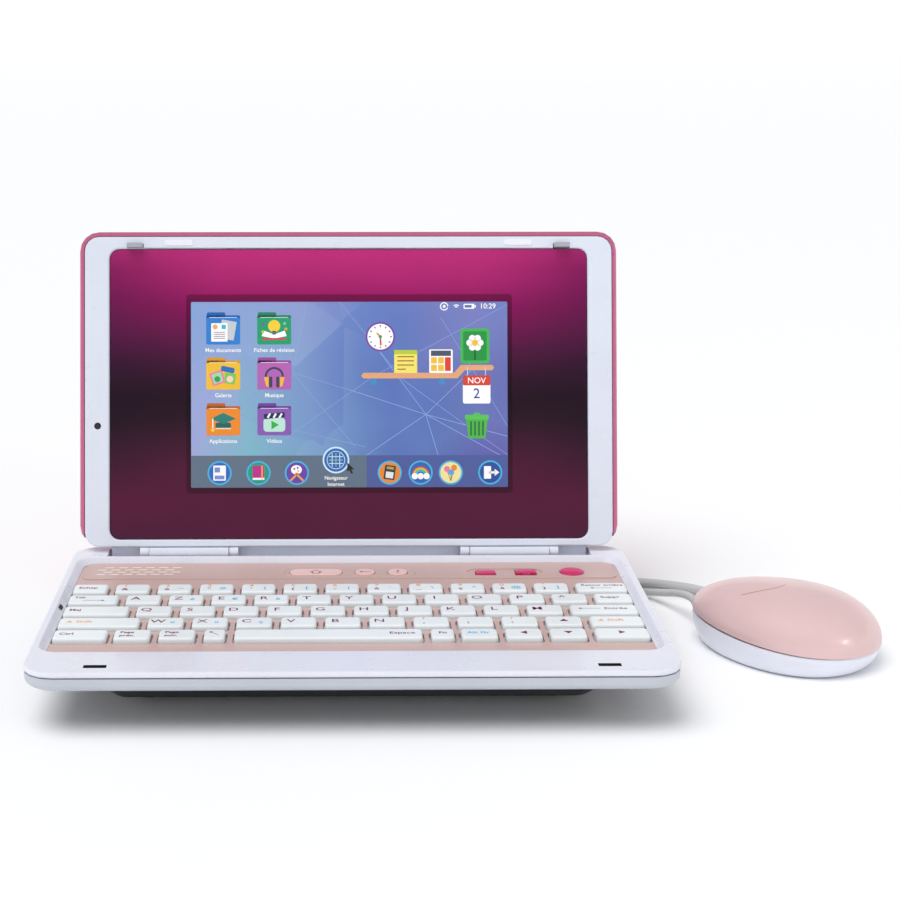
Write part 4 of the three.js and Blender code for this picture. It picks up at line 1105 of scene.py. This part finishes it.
def status_icons(art):
    white = INKS["white"]
    art.arc(45.7, 117.3, 2.0, 0.5, 0, 340, white, 3, 20)
    art.disc(45.7, 117.3, 0.7, white, 3)
    art.arc(51.5, 116.3, 1.9, 0.5, 45, 135, white, 3)
    art.arc(51.5, 116.3, 1.0, 0.5, 45, 135, white, 3)
    art.rect(57.6, 117.3, 5.2, 2.4, white, 3, 0.5)
    art.rect(57.2, 117.3, 3.4, 1.3, "#5F74B8", 4)
    art.rect(60.6, 117.3, 0.5, 1.2, white, 3)
    art.text("10:29", 66.6, 117.3, 3.5, white, 3)


def dock_icons(art):
    white = INKS["white"]
    x0, x1 = DISPLAY["x0"], DISPLAY["x1"]
    for a, b, code in ((x0 + 0.1, 8.4, "#5E7084"), (8.4, x1 - 0.1, "#4A5A9C")):
        art.polygon([(a, 30.3), (b, 30.3), (b, 46.0), (a, 46.0)], code, 1)
    rings = ((-61.9, "#2A66BF"), (-43.3, "#149C7C"), (-25.0, "#6A3FA6"), (19.4, "#EE8A22"), (34.2, "#2B62B4"),
             (48.6, "#F6E7A0"), (67.5, "#1F4C9C"))
    for x, code in rings:
        art.disc(x, 37.7, 5.8, "#45B4E4", 3)
        art.disc(x, 37.7, 5.0, code, 4)
    art.rect(-61.9, 37.7, 6.0, 7.2, white, 5, 0.4)
    art.rect(-63.0, 39.2, 2.6, 2.4, "#7A8FD0", 6)
    art.rect(-61.9, 35.6, 4.6, 1.8, "#7A8FD0", 6)
    art.rect(-43.3, 37.9, 5.6, 6.6, "#C2238A", 5, 0.4)
    art.rect(-43.3, 34.9, 5.6, 1.0, white, 6)
    art.rect(-41.6, 37.9, 0.8, 6.6, "#F2A43C", 6)
    art.disc(-25.2, 39.2, 2.6, white, 5, 0.85)
    for dx, dy, code in ((-1.0, 0.4, "#E0402F"), (0.6, 0.9, "#2C7FD0"), (0.9, -0.6, "#F2C33C")):
        art.disc(-25.2 + dx, 39.2 + dy, 0.5, code, 6)
    for side in (-1, 1):
        art.rect(-25.0 + side * 1.2, 35.8, 0.9, 5.2, "#F2A43C", 5, 0, side * 45)
    art.rect(19.4, 37.8, 5.2, 6.8, "#2E3440", 5, 0.5, -8)
    art.rect(19.3, 36.6, 3.6, 3.0, "#E8EBEF", 6, 0, -8)
    art.rect(19.7, 39.9, 3.4, 1.2, "#B9A23A", 6, 0, -8)
    for i, code in enumerate(("#E0523F", "#F2C33C", "#57C652", "#45B4E4")):
        art.arc(34.2, 36.4, 4.2 - 0.6 * i, 0.6, 10, 170, code, 5)
    for dx in (-2.8, 0, 2.8):
        art.disc(34.2 + dx, 36.0, 1.5, white, 6)
    # Three balloons on strings.
    for dx, dy, code in ((-1.8, 1.0, "#E77AAE"), (1.6, 1.6, "#F08A22"), (0.2, -0.6, "#5FA8E0")):
        art.line((48.6 + dx, 37.7 + dy), (48.6, 33.8), 0.3, "#8A6A4A", 5)
        art.disc(48.6 + dx, 38.4 + dy, 1.4, code, 6)
    art.rect(66.2, 37.7, 3.4, 6.0, white, 5, 0.3)
    art.line((66.8, 37.7), (70.2, 37.7), 1.0, white, 5)
    art.polygon([(69.6, 39.4), (71.8, 37.7), (69.6, 36.0)], white, 5)
    globe, y = -6.3, 43.8
    discs = ((6.4, "#CFEFFB"), (5.6, "#2F63B8"), (4.4, "#B9D9EE"), (4.0, "#2A6AA8"))
    for layer, (r, code) in enumerate(discs, 3):
        art.disc(globe, y, r, code, layer)
    for flat in (0.0, 0.45):
        for side in (-1, 1):
            line_x, line_y = globe + side * flat * 4, y + side * flat * 3.6
            art.line((line_x, 40.6), (line_x, 47.0), 0.35, "#CFEFFB", 7)
            art.line((-9.6, line_y), (-3.0, line_y), 0.35, "#CFEFFB", 8)
    art.text("Navigateur", globe, 35.2, 2.5, white, 5)
    art.text("Internet", globe, 32.2, 2.5, white, 5)
    art.polygon([(-0.9, 42.6), (-0.9, 38.2), (0.1, 39.0), (1.0, 37.2), (1.8, 37.6), (1.0, 39.4), (2.4, 39.4)],
                "#10131C", 9)


def network_lines(art):
    hub = (36.8, 65.5)
    pale = "#9DB6EA"
    ends = ((0.5, 77.3), (8.2, 46.0), (42.6, 46.0), (75.8, 44.0), (75.8, 55.0), (60.0, 88.0), (15.1, 95.0))
    for end in ends:
        art.line(hub, end, 0.22, pale)
    strands = (
        ((-26.9, 85.5), (0.5, 77.3)), ((-26.9, 85.5), (3.0, 50.0)), ((-42.0, 46.1), (12.0, 84.0)),
        ((12.0, 84.0), (75.8, 118.0)), ((-75.8, 99.0), (-30.0, 60.0)), ((-26.9, 85.5), (-20.0, 120.2)),
        ((-5.0, 120.2), (26.0, 82.0)), ((26.0, 82.0), (75.8, 46.1)), ((-75.8, 50.0), (-30.0, 120.2)),
        ((-26.0, 58.0), (8.2, 50.0)), ((44.0, 112.0), (75.8, 60.0)), ((-75.8, 88.0), (-48.0, 46.1)))
    for a, b in strands:
        art.line(a, b, 0.2, "#8FAAE4")


def build_display():
    art = Artwork(WINDOW["front"] - 0.11, thickness=0.03, step=0.01)
    network_lines(art)
    folder_icons(art)
    shelf_icons(art)
    status_icons(art)
    dock_icons(art)
    art.piece("display_picture", LID, "lid", "lcd", "screen_ink")


# ---- mouse ------------------------------------------------------------------------------------
def egg(scale, height, sides=96):
    """Egg outline, narrower at the nose, at a height that may depend on y."""
    points = []
    for i in range(sides):
        a = 2 * math.pi * i / sides
        y = MOUSE["length"] * math.sin(a)
        x = MOUSE["width"] * math.cos(a) * (1 - MOUSE["taper"] * y)
        points.append((x * scale, y * scale, height(y * scale)))
    return points


def parting(y):
    return MOUSE["part"] + MOUSE["slope"] * y


def rim_height(y):
    return parting(y) + GAP + CLICK_GAP * (1 + y / MOUSE["length"]) / 2


def dome(inset, steps):
    """Rings of the mouse's top shell from its rim to its crown."""
    rise_by = MOUSE["h"] - MOUSE["part"] - inset
    rings = []
    for i in range(steps):
        angle = math.pi / 2 * min(i / steps, 0.995)
        rise, scale = math.sin(angle), (1 - inset / MOUSE["width"]) * math.cos(angle) ** DOME_POWER
        rings.append(egg(scale, lambda y, r=rise: (1 - r) * rim_height(y) + r * (MOUSE["part"] + rise_by)))
    rings.append(egg(0.02, lambda y: MOUSE["h"] - inset))
    return rings


def dome_height(x, y):
    """Height of the outer shell over the point (x, y)."""
    reach = math.hypot(x / (MOUSE["width"] * (1 - MOUSE["taper"] * y)), y / MOUSE["length"])
    angle = math.acos(min(1.0, reach) ** (1 / DOME_POWER))
    rise = math.sin(angle)
    return (1 - rise) * rim_height(y) + rise * MOUSE["h"]


def build_mouse():
    outer, inner = dome(0, 28), dome(SHELL_T, 14)
    bm = bmesh.new()
    add_loft(bm, list(reversed(inner)) + outer)
    bmesh.ops.recalc_face_normals(bm, faces=bm.faces)
    add_piece("mouse_dome", to_mesh(bm, "mouse_dome", 60), MOUSE_FRAME, "mouse_shell", "mouse_pearl",
              replaces=("mouse_shell",))
    sides = ((0.81, 0.0), (0.86, 0.02), (0.895, 0.1), (0.92, 0.22), (0.947, 0.38), (0.965, 0.52),
             (0.98, 0.66), (0.99, 0.8), (0.995, 0.92), (0.985, 1.0), (0.93, 1.0), (0.9, 0.5), (0.85, 0.22))
    rings = [egg(scale, lambda y, s=share: s * parting(y)) for scale, share in sides]
    loft_piece("mouse_tray", rings, MOUSE_FRAME, "base", "mouse_white", replaces=("mouse_base",))
    # Painted shade: a dark red band inside the gap between the shell and the tray stands for the shadow in
    # that gap.
    gap_shade_rings = [egg(scale, lambda y, h=rise: parting(y) + h) for scale, rise in
           ((0.922, -0.8), (0.922, 0.9), (0.9, 0.9), (0.9, -0.8))]
    loft_piece("mouse_gap_shade", gap_shade_rings, MOUSE_FRAME, "base", "mouse_white", material="mouse_gap_shade", closed=True)
    paint_node("mouse_board", "board")
    build_crease()


def build_crease():
    """Tapering darker line across the crown, between the palm rest and the buttons: painted shade of the
    crease pressed there.
    """
    steps = 28
    rings = []
    for i in range(steps + 1):
        x = CREASE["from"] + (CREASE["to"] - CREASE["from"]) * i / steps
        y = CREASE["y"] + CREASE["bend"] * x * x
        z = dome_height(x, y)
        half = 0.03 + 0.3 * math.sin(math.pi * i / steps) ** 0.6
        rings.append([(x, y - half, z - 0.4), (x, y + half, z - 0.4), (x, y + half, z + 0.015),
                      (x, y - half, z + 0.015)])
    bm = bmesh.new()
    add_loft(bm, rings)
    bmesh.ops.recalc_face_normals(bm, faces=bm.faces)
    add_piece("mouse_crease", to_mesh(bm, "mouse_crease"), MOUSE_FRAME, "mouse_shell", "mouse_pearl",
              material="mouse_crease_shade")


# ---- assembly ---------------------------------------------------------------------------------
add_camera()
lead = build_lead()
plug_sleeve, plug = build_lead_ends()
add_studio()
build_case()
build_deck()
build_keys()
build_legends()
build_buttons()
build_lid()
build_window()
build_display()
build_mouse()
